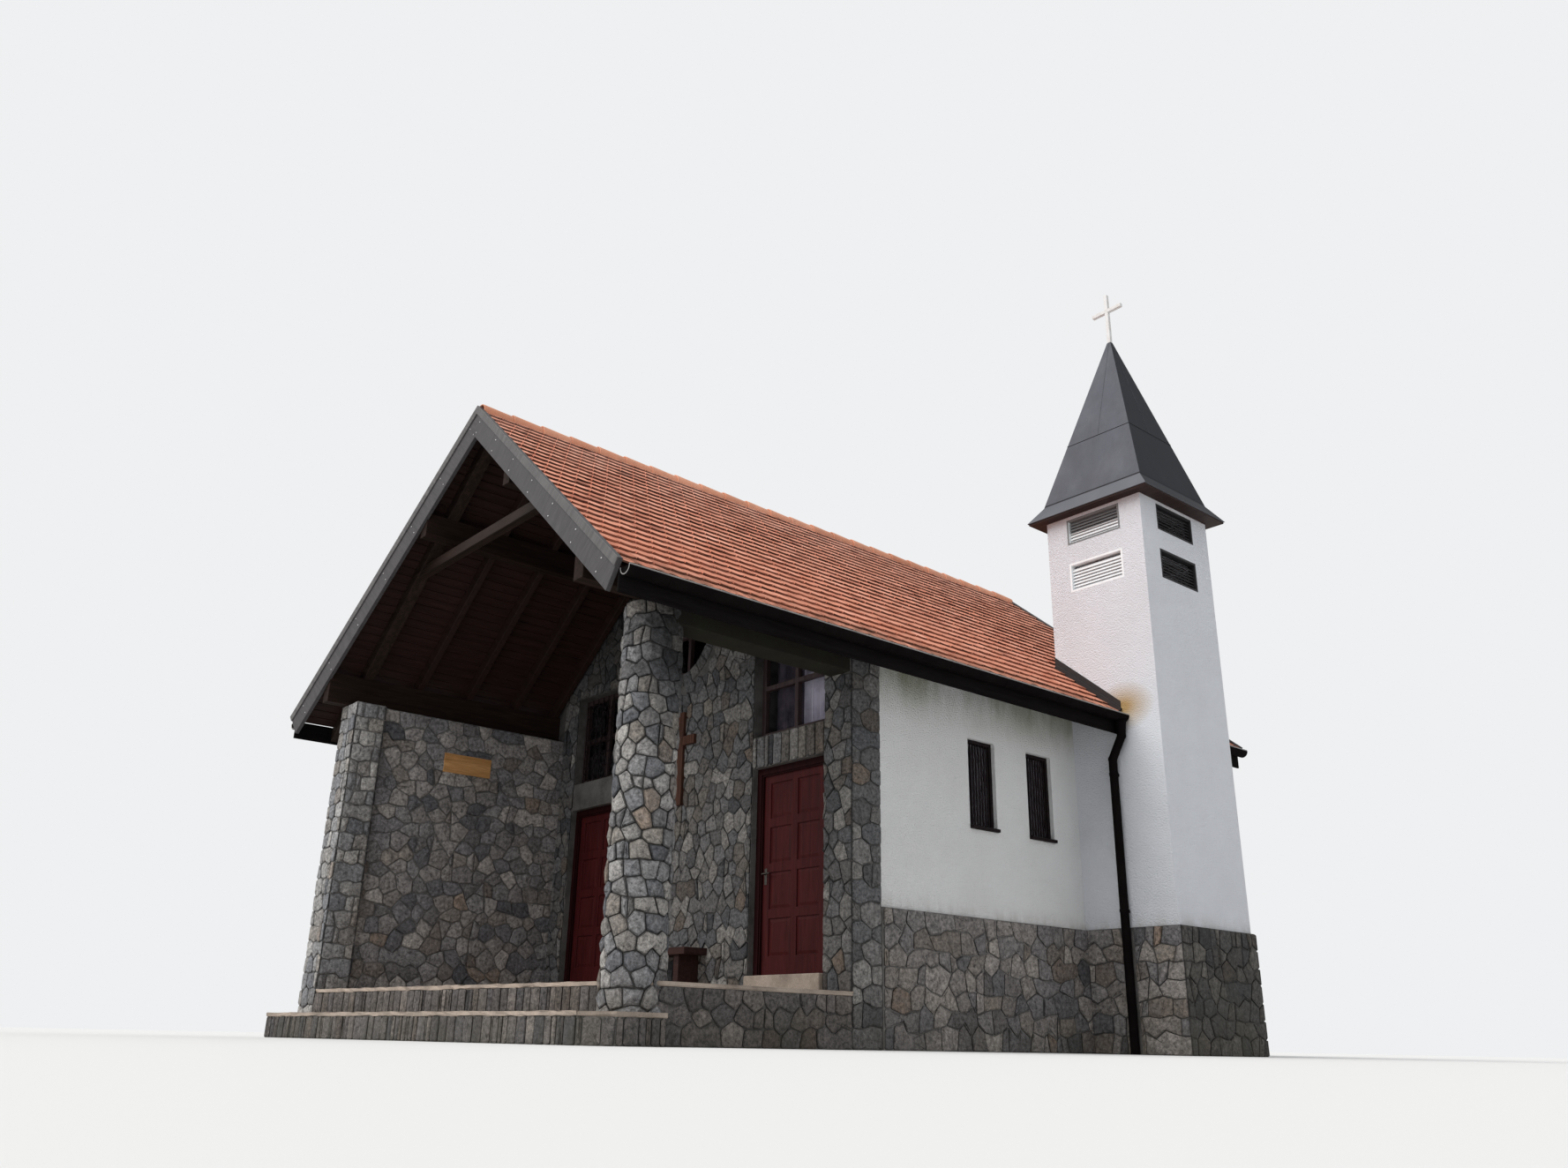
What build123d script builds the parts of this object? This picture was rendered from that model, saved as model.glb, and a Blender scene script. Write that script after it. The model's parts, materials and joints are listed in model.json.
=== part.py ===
from build123d import *
import math
import os

os.makedirs("parts", exist_ok=True)

# Small stone and plaster chapel with an open porch and a slim bell tower.
# Millimetres, +Z up, -Y towards the visitor. The origin is on the ground, on the line
# under the ridge, in the middle of the front wall's thickness.

# Ground plan
half_width = 3050            # ridge line to the outer face of a side wall
wall_t = 350                 # side and rear walls
front_wall_t = 410
nave_length = 6100           # outer face of the front wall to outer face of the rear wall
plinth_h = 1340
plinth_proud = 28
wall_h = 3900                # top of the side walls, where the plates lie
floor_h = 700                # nave floor and top of the door sills
floor_t = 150

# Porch
porch_depth_left = 3000
porch_depth_right = 2450
porch_floor_h = 520
porch_slab_t = 35
pier_length = 360
pier_proud = 95
pillar_r_foot = 285
pillar_r_head = 262
pillar_from_face = 2330
beam_depth = 200
beam_width = 300
step_h = 260
step_tread_left = 330
step_tread_right = 560
step_left_out = 25            # step ends beyond the side walls' outer faces
step_right_out = 250
step_corner_x = 260
step_corner_y = 200

# Roof
pitch = 39.3
roof_over_wall = 523.6       # tile tops above the side walls' outer top edge
eave_overhang = 720          # side wall's outer face to the lower edge of the tiles
verge_at_ridge = 3080        # porch roof ahead of the front wall, at the ridge
verge_at_eave = 3390
rear_verge = 400
tile_t = 60
board_t = 30
rafter_depth = 140
rafter_w = 80
rafter_count = 13
truss_rafter_w = 140
truss_from_face = 2800
tail_in = 70                 # rafter tails end short of the tiles' edge
board_lap = 45               # boarding runs past the rafter tails
fascia_t = 25
fascia_depth = 190
purlin_x = 1000
purlin_w = 140
purlin_depth = 180
plate_w = 160
plate_in = 20                # plate's outer face from the wall's outer face
blocking_in = 90
blocking_t = 30
collar_depth = 125
collar_w = 100
collar_drop = 140            # collar tie's top below the purlins
barge_depth = 315
barge_t = 45
barge_lift = 12
trim_depth = 85
trim_t = 14
ridge_cap_r = 112
ridge_cap_drop = 66

# Gutters and downpipes
gutter_r = 75
gutter_t = 4
gutter_back_h = 14
gutter_drop = 66
pipe_r = 50
elbow_over = 4               # elbows stand this much proud of the pipe
pipe_gap = 36                # pipe to the tower's or wall's plaster
pipe_in = 145                # swan neck, from the gutter's middle inwards
neck_h = 260
funnel_r = 68
funnel_h = 175
clamp_h = 34
clamp_t = 5
clamp_low = 180              # lower clamp above the plinth
clamp_high = 178             # upper clamp below the swan neck
left_pipe_in = 400           # left downpipe from the rear corner

# Tower
tower_bite = 190             # the tower stands this far into the side wall
tower_w = 1420
tower_from_face = 3780
tower_d = 1500
tower_wall_t = 240
tower_h = 6560
louvre_w = 800
louvre_head = 50             # tower's top to the upper louvres
louvre_upper_h = 350
louvre_gap = 260
louvre_lower_h = 390
louvre_foot = 130            # belfry wall below the lower louvres
louvre_frame = 28
louvre_depth = 90
slat_depth = 64
slat_t = 10
slat_pitch = 42
slat_tilt = 52
skirt_reach = 910
skirt_above = 15             # skirt's edge above the tower's top
flare_h = 225
kink_reach = 745
spire_h = 2755
spire_top_half = 28
spire_solid_tip = 400
sheet_t = 30
soffit_t = 25
flashing_h = 130
flashing_t = 6
cross_bar = 52
cross_h = 780
cross_arm_drop = 260
cross_arm_half = 235

# Doors
door_w = 1180
door_from_right = 400        # right door frame to the right wall's outer face
door_from_left = 700         # left door frame to the left wall's outer face
door_h = 2200
frame_w = 70
frame_d = 95
frame_setback = 70
leaf_t = 55
leaf_gap = 6
stop_w = 18
stop_t = 20
stile_w = 115
rail_w = 95
bottom_rail = 190
panel_sink = 14
panel_rise = 8
panel_bevel = 28
panel_gap = 12               # groove round each raised middle
hinge_r = 10
hinge_pin_r = 6
hinge_off = 15               # leaf's inner face to the hinge axis
hinge_web = 6
hinge_h = 90
hinge_clear = 0.3
hinge_heights = (250, 1060, 1850)
handle_h = 1050
handle_r = 9
handle_reach = 52
handle_len = 125
handle_plate_w = 40
handle_plate_t = 5
handle_plate_down = 110
handle_plate_up = 60
sill_front = 60

# Windows
upper_sill_z = 3250
upper_head_z = 4420
upper_setback = 110
sash_w = 62
sash_d = 60
mullion_w = 54
glass_t = 8
oculus_z = 4850
oculus_r = 550
gable_split = 820            # joint between the gable's middle and its sides
side_window_w = 460
side_sill_z = 2290
side_head_z = 3305
side_right_y = (2035, 3060)
side_left_y = (2035, 3060, 4085, 5110)
side_frame_w = 40
side_frame_d = 50
side_setback = 50
sill_reach = 45
sill_t = 35

# Fittings
wall_cross_x = 130
wall_cross_z0 = 2660
wall_cross_z1 = 3790
wall_cross_arm_z = 3430
wall_cross_arm_half = 270
wall_cross_w = 110
wall_cross_t = 60
plaque_y = (1090, 1750)
plaque_z = (3225, 3470)
plaque_t = 30
bench_x = (-470, 770)
bench_seat_z = 1010
bench_seat_t = 75
bench_d = 330
bench_leg_t = 90
bench_leg_in = 150
bench_leg_back = 40

tan_p = math.tan(math.radians(pitch))
sin_p = math.sin(math.radians(pitch))
cos_p = math.cos(math.radians(pitch))
ridge_h = wall_h + roof_over_wall + half_width * tan_p
face_y = -front_wall_t / 2
inner_face_y = front_wall_t / 2
rear_y = face_y + nave_length
rear_edge_y = rear_y + rear_verge
inner_x = half_width - wall_t
eave_reach = half_width + eave_overhang
tail_reach = eave_reach - tail_in
plate_outer = half_width - plate_in
plate_inner = plate_outer - plate_w
blocking_x = half_width - blocking_in
rafter_line = tile_t + board_t
soffit_line = rafter_line + rafter_depth
plan_spread = 1.2            # roof layers are drawn this much wider, then cut to the plan
tower_x0 = half_width - tower_bite
tower_y0 = face_y + tower_from_face
tower_y1 = tower_y0 + tower_d
tower_x1 = tower_x0 + tower_w
tower_cx = tower_x0 + tower_w / 2
tower_cy = tower_y0 + tower_d / 2
louvre_upper = (tower_h - louvre_head - louvre_upper_h, tower_h - louvre_head)
louvre_lower = (louvre_upper[0] - louvre_gap - louvre_lower_h, louvre_upper[0] - louvre_gap)
belfry_h = louvre_lower[0] - louvre_foot
skirt_z = tower_h + skirt_above
kink_z = skirt_z + flare_h
spire_top_z = skirt_z + spire_h
cross_top_z = spire_top_z + cross_h
cross_arm_z = cross_top_z - cross_arm_drop
door_right_x1 = half_width - door_from_right
door_right_x0 = door_right_x1 - door_w
door_left_x0 = door_from_left - half_width
door_left_x1 = door_left_x0 + door_w
lintel_top = upper_sill_z


def block(x0, x1, y0, y1, z0, z1):
    """Box between two corners."""
    centre = ((x0 + x1) / 2, (y0 + y1) / 2, (z0 + z1) / 2)
    return Pos(*centre) * Box(x1 - x0, y1 - y0, z1 - z0)


def prism_y(points, y0, y1):
    """Outline of (x, z) points drawn out along Y."""
    face = make_face(Polyline(*[(x, y0, z) for x, z in points], close=True))
    return extrude(face, amount=y1 - y0, dir=(0, 1, 0))


def prism_x(points, x0, x1):
    """Outline of (y, z) points drawn out along X."""
    face = make_face(Polyline(*[(x0, y, z) for y, z in points], close=True))
    return extrude(face, amount=x1 - x0, dir=(1, 0, 0))


def prism_z(points, z0, z1):
    """Outline of (x, y) points drawn out upwards."""
    face = make_face(Polyline(*[(x, y, z0) for x, y in points], close=True))
    return extrude(face, amount=z1 - z0, dir=(0, 0, 1))


def roof_z(x, below=0):
    """Height of the plane that lies the given depth under the tile tops."""
    return ridge_h - abs(x) * tan_p - below / cos_p


def verge_y(x):
    """Front edge of the roof in plan: it stands further out at the eaves than at the ridge."""
    share = abs(x) / eave_reach
    return face_y - verge_at_ridge - (verge_at_eave - verge_at_ridge) * share


def roof_plan(setback):
    """Tall block with the roof's plan, set back from the verges."""
    side = eave_reach * plan_spread
    front = [(side, verge_y(side) + setback), (0, verge_y(0) + setback), (-side, verge_y(side) + setback)]
    back = [(-side, rear_edge_y - setback), (side, rear_edge_y - setback)]
    return prism_z(front + back, 0, 1.1 * ridge_h)


def slope_layer(side, top, bottom, reach):
    """One layer of one roof slope, square cut at its lower edge."""
    length = reach / cos_p
    low_top = (length * cos_p - top * sin_p, ridge_h - length * sin_p - top * cos_p)
    low_bottom = (length * cos_p - bottom * sin_p, ridge_h - length * sin_p - bottom * cos_p)
    outline = [(0, roof_z(0, top)), low_top, low_bottom, (0, roof_z(0, bottom))]
    return prism_y([(side * x, z) for x, z in outline], verge_y(plan_spread * eave_reach), rear_edge_y)


def save(name, shape):
    shape.label = name
    export_step(shape, f"parts/{name}.step")


# The tower's outline, which the roof and the side wall are built up to
tower_mass = block(tower_x0, tower_x1, tower_y0, tower_y1, 0, tower_h)

# Porch base, slab and steps
pillar_x = half_width - pillar_r_head
pillar_y = face_y - pillar_from_face
pier_y0 = face_y - porch_depth_left
pier_y1 = pier_y0 + pier_length
pillar_room = Cylinder(pillar_r_foot + 2, 2 * step_h + 2 * porch_floor_h)
pillar_space = Pos(pillar_x, pillar_y, step_h) * pillar_room
floor_plan = [
    (-inner_x, pier_y0),
    (pillar_x, face_y - porch_depth_right),
    (half_width, pillar_y),
    (half_width, face_y),
    (-inner_x, face_y),
]
pier_space = block(-half_width, -inner_x + pier_proud, pier_y0, pier_y1, 0, porch_floor_h)
porch_base = prism_z(floor_plan, 0, porch_floor_h - porch_slab_t) - pillar_space - pier_space
porch_slab = prism_z(floor_plan, porch_floor_h - porch_slab_t, porch_floor_h) - pillar_space - pier_space
step_front_left = pier_y0 - step_tread_left
step_front_right = face_y - porch_depth_right - step_tread_right
step_left_x = -half_width - step_left_out
step_right_x = half_width + step_right_out
step_plan = [
    (step_left_x, step_front_left),
    (step_right_x - step_corner_x, step_front_right),
    (step_right_x, step_front_right + step_corner_y),
    (step_right_x, pillar_y),
    (half_width, pillar_y),
    (pillar_x, face_y - porch_depth_right),
    (-inner_x, pier_y0),
    (step_left_x, pier_y0),
]
lower_step = prism_z(step_plan, 0, step_h) - pillar_space - pier_space
save("porch_base", porch_base)
save("porch_slab", porch_slab)
save("lower_step", lower_step)

# Porch wall, end pier, round pillar and the beam from the pillar to the nave
porch_wall = block(-half_width, -inner_x, pier_y1, face_y, 0, wall_h)
porch_pier = block(-half_width, -inner_x + pier_proud, pier_y0, pier_y1, 0, wall_h)
pillar_top = wall_h - beam_depth
pillar_height = pillar_top / 2
porch_pillar = Pos(pillar_x, pillar_y, pillar_height) * Cone(pillar_r_foot, pillar_r_head, pillar_top)
beam_y0 = pillar_y - pillar_r_head
porch_beam = block(half_width - beam_width, half_width, beam_y0, face_y, pillar_top, wall_h)
save("porch_wall", porch_wall)
save("porch_pier", porch_pier)
save("porch_pillar", porch_pillar)
save("porch_beam", porch_beam)

# Nave floor and the masonry plinth around it
nave_floor = block(-inner_x, inner_x, inner_face_y, rear_y - wall_t, floor_h - floor_t, floor_h)
plinth_x = half_width + plinth_proud
plinth_blocks = [
    block(-plinth_x, -inner_x, face_y, rear_y + plinth_proud, 0, plinth_h),
    block(-inner_x, inner_x, rear_y - wall_t, rear_y + plinth_proud, 0, plinth_h),
    block(inner_x, plinth_x, inner_face_y, tower_y0, 0, plinth_h),
    block(inner_x, tower_x0, tower_y0, tower_y1, 0, plinth_h),
    block(inner_x, plinth_x, tower_y1, rear_y + plinth_proud, 0, plinth_h),
]
save("nave_floor", nave_floor)
save("nave_plinth", Compound(plinth_blocks))


# Plastered side walls on the plinth: below, beside and above their windows
def windowed_wall(side, y0, y1, places):
    """Blocks of one side wall round the tall windows at the given places."""
    x0, x1 = sorted((side * inner_x, side * half_width))
    blocks = [
        block(x0, x1, y0, y1, plinth_h, side_sill_z),
        block(x0, x1, y0, y1, side_head_z, wall_h),
    ]
    start = y0
    for y in places:
        edge = face_y + y - side_window_w / 2
        blocks.append(block(x0, x1, start, edge, side_sill_z, side_head_z))
        start = edge + side_window_w
    blocks.append(block(x0, x1, start, y1, side_sill_z, side_head_z))
    return blocks


wall_right = windowed_wall(1, inner_face_y, tower_y0, side_right_y)
wall_right.append(block(inner_x, tower_x0, tower_y0, tower_y1, plinth_h, wall_h))
wall_right.append(block(inner_x, half_width, tower_y1, rear_y, plinth_h, wall_h))
wall_left = windowed_wall(-1, face_y, rear_y, side_left_y)
save("wall_right", Compound(wall_right))
save("wall_left", Compound(wall_left))

# Roof timbers
purlin_top = soffit_line
purlins = []
for side in (-1, 1):
    x0, x1 = purlin_x - purlin_w / 2, purlin_x + purlin_w / 2
    low = roof_z(x1, purlin_top) - purlin_depth
    outline = [
        (side * x0, roof_z(x0, purlin_top)),
        (side * x1, roof_z(x1, purlin_top)),
        (side * x1, low),
        (side * x0, low),
    ]
    purlins.append(prism_y(outline, verge_y(x1) + barge_t, rear_edge_y - barge_t))
plates = []
for side in (-1, 1):
    outline = [
        (side * plate_inner, roof_z(plate_inner, soffit_line)),
        (side * plate_outer, roof_z(plate_outer, soffit_line)),
        (side * plate_outer, wall_h),
        (side * plate_inner, wall_h),
    ]
    plates.append(prism_y(outline, verge_y(plate_outer) + barge_t, rear_edge_y - barge_t))
plates[1] -= tower_mass


def rafter_pair(y, width):
    """Two rafters that meet at the ridge, with plumb-cut tails."""
    right = [
        (0, roof_z(0, rafter_line)),
        (tail_reach, roof_z(tail_reach, rafter_line)),
        (tail_reach, roof_z(tail_reach, soffit_line)),
        (0, roof_z(0, soffit_line)),
    ]
    left = [(-x, z) for x, z in reversed(right[1:3])]
    outline = [right[0], right[1], right[2], right[3]] + left
    return prism_y(outline, y - width / 2, y + width / 2)


last_front_y = face_y - rafter_w
porch_ys = [face_y - truss_from_face * k / 4 for k in (1, 2, 3)]
nave_first_y = inner_face_y + rafter_w
nave_last_y = rear_y - wall_t - rafter_w
nave_step = (nave_last_y - nave_first_y) / (rafter_count - 4)
nave_ys = [nave_first_y + nave_step * k for k in range(rafter_count - 3)]
rafters = []
for y in [last_front_y] + porch_ys + nave_ys + [rear_edge_y - barge_t - rafter_w]:
    pair = rafter_pair(y, rafter_w) - tower_mass
    rafters.append(pair)
truss_y = face_y - truss_from_face
truss_rafters = rafter_pair(truss_y, truss_rafter_w)
collar_top = roof_z(purlin_x + purlin_w / 2, purlin_top) - purlin_depth - collar_drop


def under_rafter_x(z):
    """Distance from the ridge line at which the rafters' underside has the given height."""
    return (ridge_h - soffit_line / cos_p - z) / tan_p


collar_low = collar_top - collar_depth
collar_outline = [
    (-under_rafter_x(collar_top), collar_top),
    (under_rafter_x(collar_top), collar_top),
    (under_rafter_x(collar_low), collar_low),
    (-under_rafter_x(collar_low), collar_low),
]
collar_tie = prism_y(collar_outline, truss_y - collar_w / 2, truss_y + collar_w / 2)
save("purlins", Compound(purlins))
save("wall_plates", Compound(plates))
blocking = []
for side in (-1, 1):
    outline = [
        (side * blocking_x, roof_z(blocking_x, rafter_line)),
        (side * (blocking_x + blocking_t), roof_z(blocking_x + blocking_t, rafter_line)),
        (side * (blocking_x + blocking_t), roof_z(blocking_x + blocking_t, soffit_line)),
        (side * blocking_x, roof_z(blocking_x, soffit_line)),
    ]
    strip = prism_y(outline, inner_face_y, rear_y - wall_t) - tower_mass
    for pair in rafters:
        strip -= pair
    blocking += strip.solids()
save("eave_blocking", Compound(blocking))
save("rafters", Compound([s for pair in rafters for s in pair.solids()]))
save("porch_truss", Compound([truss_rafters, collar_tie]))

# Front wall: piers and centre beside the doors, lintels over them, gable above
wall_spans = ((-inner_x, door_left_x0), (door_left_x1, door_right_x0), (door_right_x1, half_width))
front_wall = [block(x0, x1, face_y, inner_face_y, 0, lintel_top) for x0, x1 in wall_spans]
door_spans = ((door_left_x0, door_left_x1), (door_right_x0, door_right_x1))
lintel_z = floor_h + door_h
lintels = [block(x0, x1, face_y, inner_face_y, lintel_z, lintel_top) for x0, x1 in door_spans]
timbers = purlins + plates


def gable_piece(x0, x1, y0, y1, z0):
    """Part of a gable wall that runs up to the roof boarding, notched round the timbers."""
    outline = [(x0, z0), (x1, z0)]
    outline.append((x1, roof_z(x1, rafter_line)))
    if x0 < 0 < x1:
        outline.append((0, roof_z(0, rafter_line)))
    outline.append((x0, roof_z(x0, rafter_line)))
    piece = prism_y(outline, y0, y1)
    for timber in timbers:
        piece -= timber
    return piece


window_spans = door_spans
gable_left = gable_piece(-inner_x, -gable_split, face_y, inner_face_y, lintel_top)
gable_centre = gable_piece(-gable_split, gable_split, face_y, inner_face_y, lintel_top)
gable_right = gable_piece(gable_split, half_width, face_y, inner_face_y, lintel_top)
for x0, x1 in window_spans:
    hole = block(x0, x1, face_y - 10, inner_face_y + 10, upper_sill_z, upper_head_z)
    gable_left -= hole
    gable_right -= hole
oculus_axis = Pos(0, 0, oculus_z) * Rot(90, 0, 0)
gable_centre -= oculus_axis * Cylinder(oculus_r, front_wall_t + 20)
gable_over_wall = gable_piece(-half_width, -inner_x, face_y, inner_face_y, wall_h)
save("front_wall", Compound(front_wall))
save("door_lintels", Compound(lintels))
save("front_gable_left", gable_left + gable_over_wall)
save("front_gable_centre", gable_centre)
save("front_gable_right", gable_right)

# Rear wall with its gable
rear_wall = gable_piece(-inner_x, inner_x, rear_y - wall_t, rear_y, plinth_h)
for side in (-1, 1):
    x0, x1 = sorted((side * inner_x, side * half_width))
    rear_wall += gable_piece(x0, x1, rear_y - wall_t, rear_y, wall_h)
save("rear_wall", rear_wall)

# Boarding and tile layers
roof_boards = []
for side, word in ((-1, "left"), (1, "right")):
    boards = slope_layer(side, tile_t, rafter_line, tail_reach + board_lap) & roof_plan(barge_t)
    tiles = slope_layer(side, 0, tile_t, eave_reach) & roof_plan(barge_t)
    boards -= tower_mass
    tiles -= tower_mass
    roof_boards += boards.solids()
    save(f"roof_tiles_{word}", tiles)
save("roof_boards", Compound(roof_boards))

# Barge boards along the verges, with a narrow trim board at their upper edge
def verge_board(side, depth, thickness, forward, front):
    """Board that hangs from the roof's edge, square cut at its lower end."""
    end_x = eave_reach + 10
    lift = barge_lift / cos_p
    top_low = roof_z(end_x) + lift
    points = [
        (0, roof_z(0) + lift),
        (end_x, top_low),
        (end_x - depth * sin_p, top_low - depth * cos_p),
        (0, roof_z(0) + lift - depth / cos_p),
    ]
    if front:
        line = [(side * x, verge_y(x) - forward, z) for x, z in points]
    else:
        line = [(side * x, rear_edge_y - barge_t + forward, z) for x, z in points]
    return extrude(make_face(Polyline(*line, close=True)), amount=thickness, dir=(0, 1, 0))


barge_boards = []
verge_trims = []
for front in (True, False):
    boards = [verge_board(side, barge_depth, barge_t, 0, front) for side in (-1, 1)]
    joined = boards[0] + boards[1]
    for timber in timbers:
        joined -= timber
    shift = trim_t if front else barge_t
    trims = [verge_board(side, trim_depth, trim_t, shift, front) for side in (-1, 1)]
    barge_boards += joined.solids()
    verge_trims += (trims[0] + trims[1]).solids()
save("barge_boards", Compound(barge_boards))
save("verge_trims", Compound(verge_trims))

# Ridge tiles: a round cap that rides on both slopes
cap_z = ridge_h - ridge_cap_drop
cap_half = Pos(0, (verge_y(0) + rear_edge_y) / 2, cap_z) * Rot(90, 0, 0)
ridge_cap = cap_half * Cylinder(ridge_cap_r, rear_edge_y - verge_y(0))
cap_cut = 4 * ridge_cap_r
cap_cut_z = roof_z(2 * cap_cut)
below_tiles = [
    (0, roof_z(0)),
    (cap_cut, roof_z(cap_cut)),
    (cap_cut, cap_cut_z),
    (-cap_cut, cap_cut_z),
    (-cap_cut, roof_z(cap_cut)),
]
ridge_cap -= prism_y(below_tiles, verge_y(0) - barge_t, rear_edge_y + barge_t)
for board in barge_boards:
    ridge_cap -= board
save("ridge_tiles", ridge_cap)

# Fascia boards at the rafter tails
fascias = []
for side in (-1, 1):
    x0, x1 = sorted((side * tail_reach, side * (tail_reach + fascia_t)))
    top = roof_z(tail_reach + fascia_t, rafter_line)
    board = block(x0, x1, verge_y(tail_reach) + barge_t, rear_edge_y - barge_t, top - fascia_depth, top)
    board -= tower_mass
    fascias += board.solids()
save("fascia_boards", Compound(fascias))

# Half-round gutters with a back flange on the fascia
gutter_x = tail_reach + fascia_t + gutter_r
gutter_z = roof_z(eave_reach) - gutter_drop
gutter_y0 = verge_y(eave_reach) + barge_t + 8
gutter_y1 = rear_edge_y - barge_t - 8
gutters = []
for side in (-1, 1):
    run = gutter_y1 - gutter_y0
    axis = Pos(side * gutter_x, gutter_y0 + run / 2, gutter_z) * Rot(90, 0, 0)
    trough = axis * (Cylinder(gutter_r, run) - Cylinder(gutter_r - gutter_t, run))
    half, top = gutter_r + 1, gutter_z + gutter_r + 1
    upper = block(-half, half, gutter_y0 - 1, gutter_y1 + 1, gutter_z, top)
    trough -= Pos(side * gutter_x, 0, 0) * upper
    x0, x1 = sorted((side * (gutter_x - gutter_r), side * (gutter_x - gutter_r + gutter_t)))
    trough += block(x0, x1, gutter_y0, gutter_y1, gutter_z - 1, gutter_z + gutter_back_h)
    ends = [gutter_y0, gutter_y1 - gutter_t]
    if side > 0:
        trough -= tower_mass
        ends += [tower_y0 - gutter_t, tower_y1]
    for y in ends:
        end_axis = Pos(side * gutter_x, y + gutter_t / 2, gutter_z) * Rot(90, 0, 0)
        disc = end_axis * Cylinder(gutter_r, gutter_t)
        trough += disc - Pos(side * gutter_x, 0, 0) * upper
    gutters += trough.solids()
save("gutters", Compound(gutters))


# Downpipes: funnel under the gutter, swan neck, straight fall with clamps
def round_bar(start, end, r0, r1):
    """Straight round piece between two points."""
    axis = Vector(*end) - Vector(*start)
    plane = Plane(origin=start, z_dir=axis.normalized())
    lower = plane * Circle(r0)
    upper = plane.offset(axis.length) * Circle(r1)
    return loft([lower, upper])


def downpipe(gutter_point, foot_point, clamp_heights, wall_dir, reach):
    """Pipe from a gutter outlet to the foot of the wall."""
    gx, gy, gz = gutter_point
    px, py, pz = foot_point
    neck_top = (gx, gy, gz - funnel_h)
    neck_low = (px, py, gz - funnel_h - neck_h)
    pipe = round_bar((gx, gy, gz), neck_top, funnel_r, pipe_r)
    pipe += round_bar(neck_top, neck_low, pipe_r, pipe_r)
    pipe += Pos(*neck_top) * Sphere(pipe_r + elbow_over)
    pipe += Pos(*neck_low) * Sphere(pipe_r + elbow_over)
    pipe += round_bar((px, py, pz), neck_low, pipe_r, pipe_r)
    dx, dy = wall_dir
    for z in clamp_heights:
        pipe += Pos(px, py, z) * Cylinder(pipe_r + clamp_t, clamp_h)
        x0, x1 = sorted((px - abs(dy) * clamp_h / 2, px + abs(dy) * clamp_h / 2 + dx * reach))
        y0, y1 = sorted((py - abs(dx) * clamp_h / 2, py + abs(dx) * clamp_h / 2 + dy * reach))
        pipe += block(x0, x1, y0, y1, z - clamp_h / 2, z + clamp_h / 2)
    return pipe


gutter_base_z = gutter_z - gutter_r
pipe_reach = pipe_r + pipe_gap
neck_low_z = gutter_base_z - funnel_h - neck_h
clamp_zs = (plinth_h + clamp_low, neck_low_z - clamp_high)
pipe_x = gutter_x - pipe_in
pipe_y = tower_y0 - pipe_reach
outlet_right = (gutter_x, pipe_y, gutter_base_z)
downpipe_right = downpipe(outlet_right, (pipe_x, pipe_y, 0), clamp_zs, (0, 1), pipe_reach)
left_pipe_x = -(half_width + pipe_reach)
left_pipe_y = rear_y - left_pipe_in
outlet_left = (-gutter_x, left_pipe_y, gutter_base_z)
downpipe_left = downpipe(outlet_left, (left_pipe_x, left_pipe_y, 0), clamp_zs, (1, 0), pipe_reach)
save("downpipes", Compound([downpipe_right.solid(), downpipe_left.solid()]))

# Tower: masonry plinth, plastered shaft, belfry with louvred openings
shaft_hollow = block(
    tower_x0 + tower_wall_t,
    tower_x1 - tower_wall_t,
    tower_y0 + tower_wall_t,
    tower_y1 - tower_wall_t,
    -10,
    tower_h + 10,
)
plinth_out = block(
    tower_x0, tower_x1 + plinth_proud, tower_y0 - plinth_proud, tower_y1 + plinth_proud, 0, plinth_h
)
tower_plinth = plinth_out - shaft_hollow
for one in plinth_blocks:
    tower_plinth -= one
tower_shaft = block(tower_x0, tower_x1, tower_y0, tower_y1, plinth_h, belfry_h) - shaft_hollow
belfry = []
solid_bands = (
    (belfry_h, louvre_lower[0]),
    (louvre_lower[1], louvre_upper[0]),
    (louvre_upper[1], tower_h),
)
for z0, z1 in solid_bands:
    belfry.append(block(tower_x0, tower_x1, tower_y0, tower_y1, z0, z1) - shaft_hollow)
corner_x = (tower_w - louvre_w) / 2
corner_y = (tower_d - louvre_w) / 2
for z0, z1 in (louvre_lower, louvre_upper):
    for x in (tower_x0, tower_x1 - corner_x):
        for y in (tower_y0, tower_y1 - corner_y):
            belfry.append(block(x, x + corner_x, y, y + corner_y, z0, z1))
tower_centre = Pos(tower_cx, tower_cy, 0)
save("tower_plinth", tower_plinth)
save("tower_shaft", tower_shaft)
save("tower_belfry", Compound(belfry))


# Louvres: a frame with tilted slats, built facing -Y and turned to each side
def louvre(z0, z1):
    """One louvre in its own frame, outer face on y = 0."""
    half = louvre_w / 2
    frame = block(-half, half, 0, louvre_depth, z0, z1)
    inner = half - louvre_frame
    frame -= block(-inner, inner, -1, louvre_depth + 1, z0 + louvre_frame, z1 - louvre_frame)
    count = int((z1 - z0 - 2 * louvre_frame) // slat_pitch)
    first = z0 + louvre_frame + slat_pitch / 2
    slat_len = louvre_w - 2 * louvre_frame + 4
    for k in range(count):
        slat = Box(slat_len, slat_depth, slat_t)
        frame += Pos(0, louvre_depth / 2, first + k * slat_pitch) * Rot(slat_tilt, 0, 0) * slat
    return frame


louvre_turns = ((0, tower_d / 2), (90, tower_w / 2), (180, tower_d / 2), (270, tower_w / 2))
louvres = []
for turn, reach in louvre_turns:
    for z0, z1 in (louvre_lower, louvre_upper):
        placed = tower_centre * Rot(0, 0, turn) * Pos(0, -reach, 0) * louvre(z0, z1)
        louvres += placed.solids()
save("tower_louvres", Compound(louvres))


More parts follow.
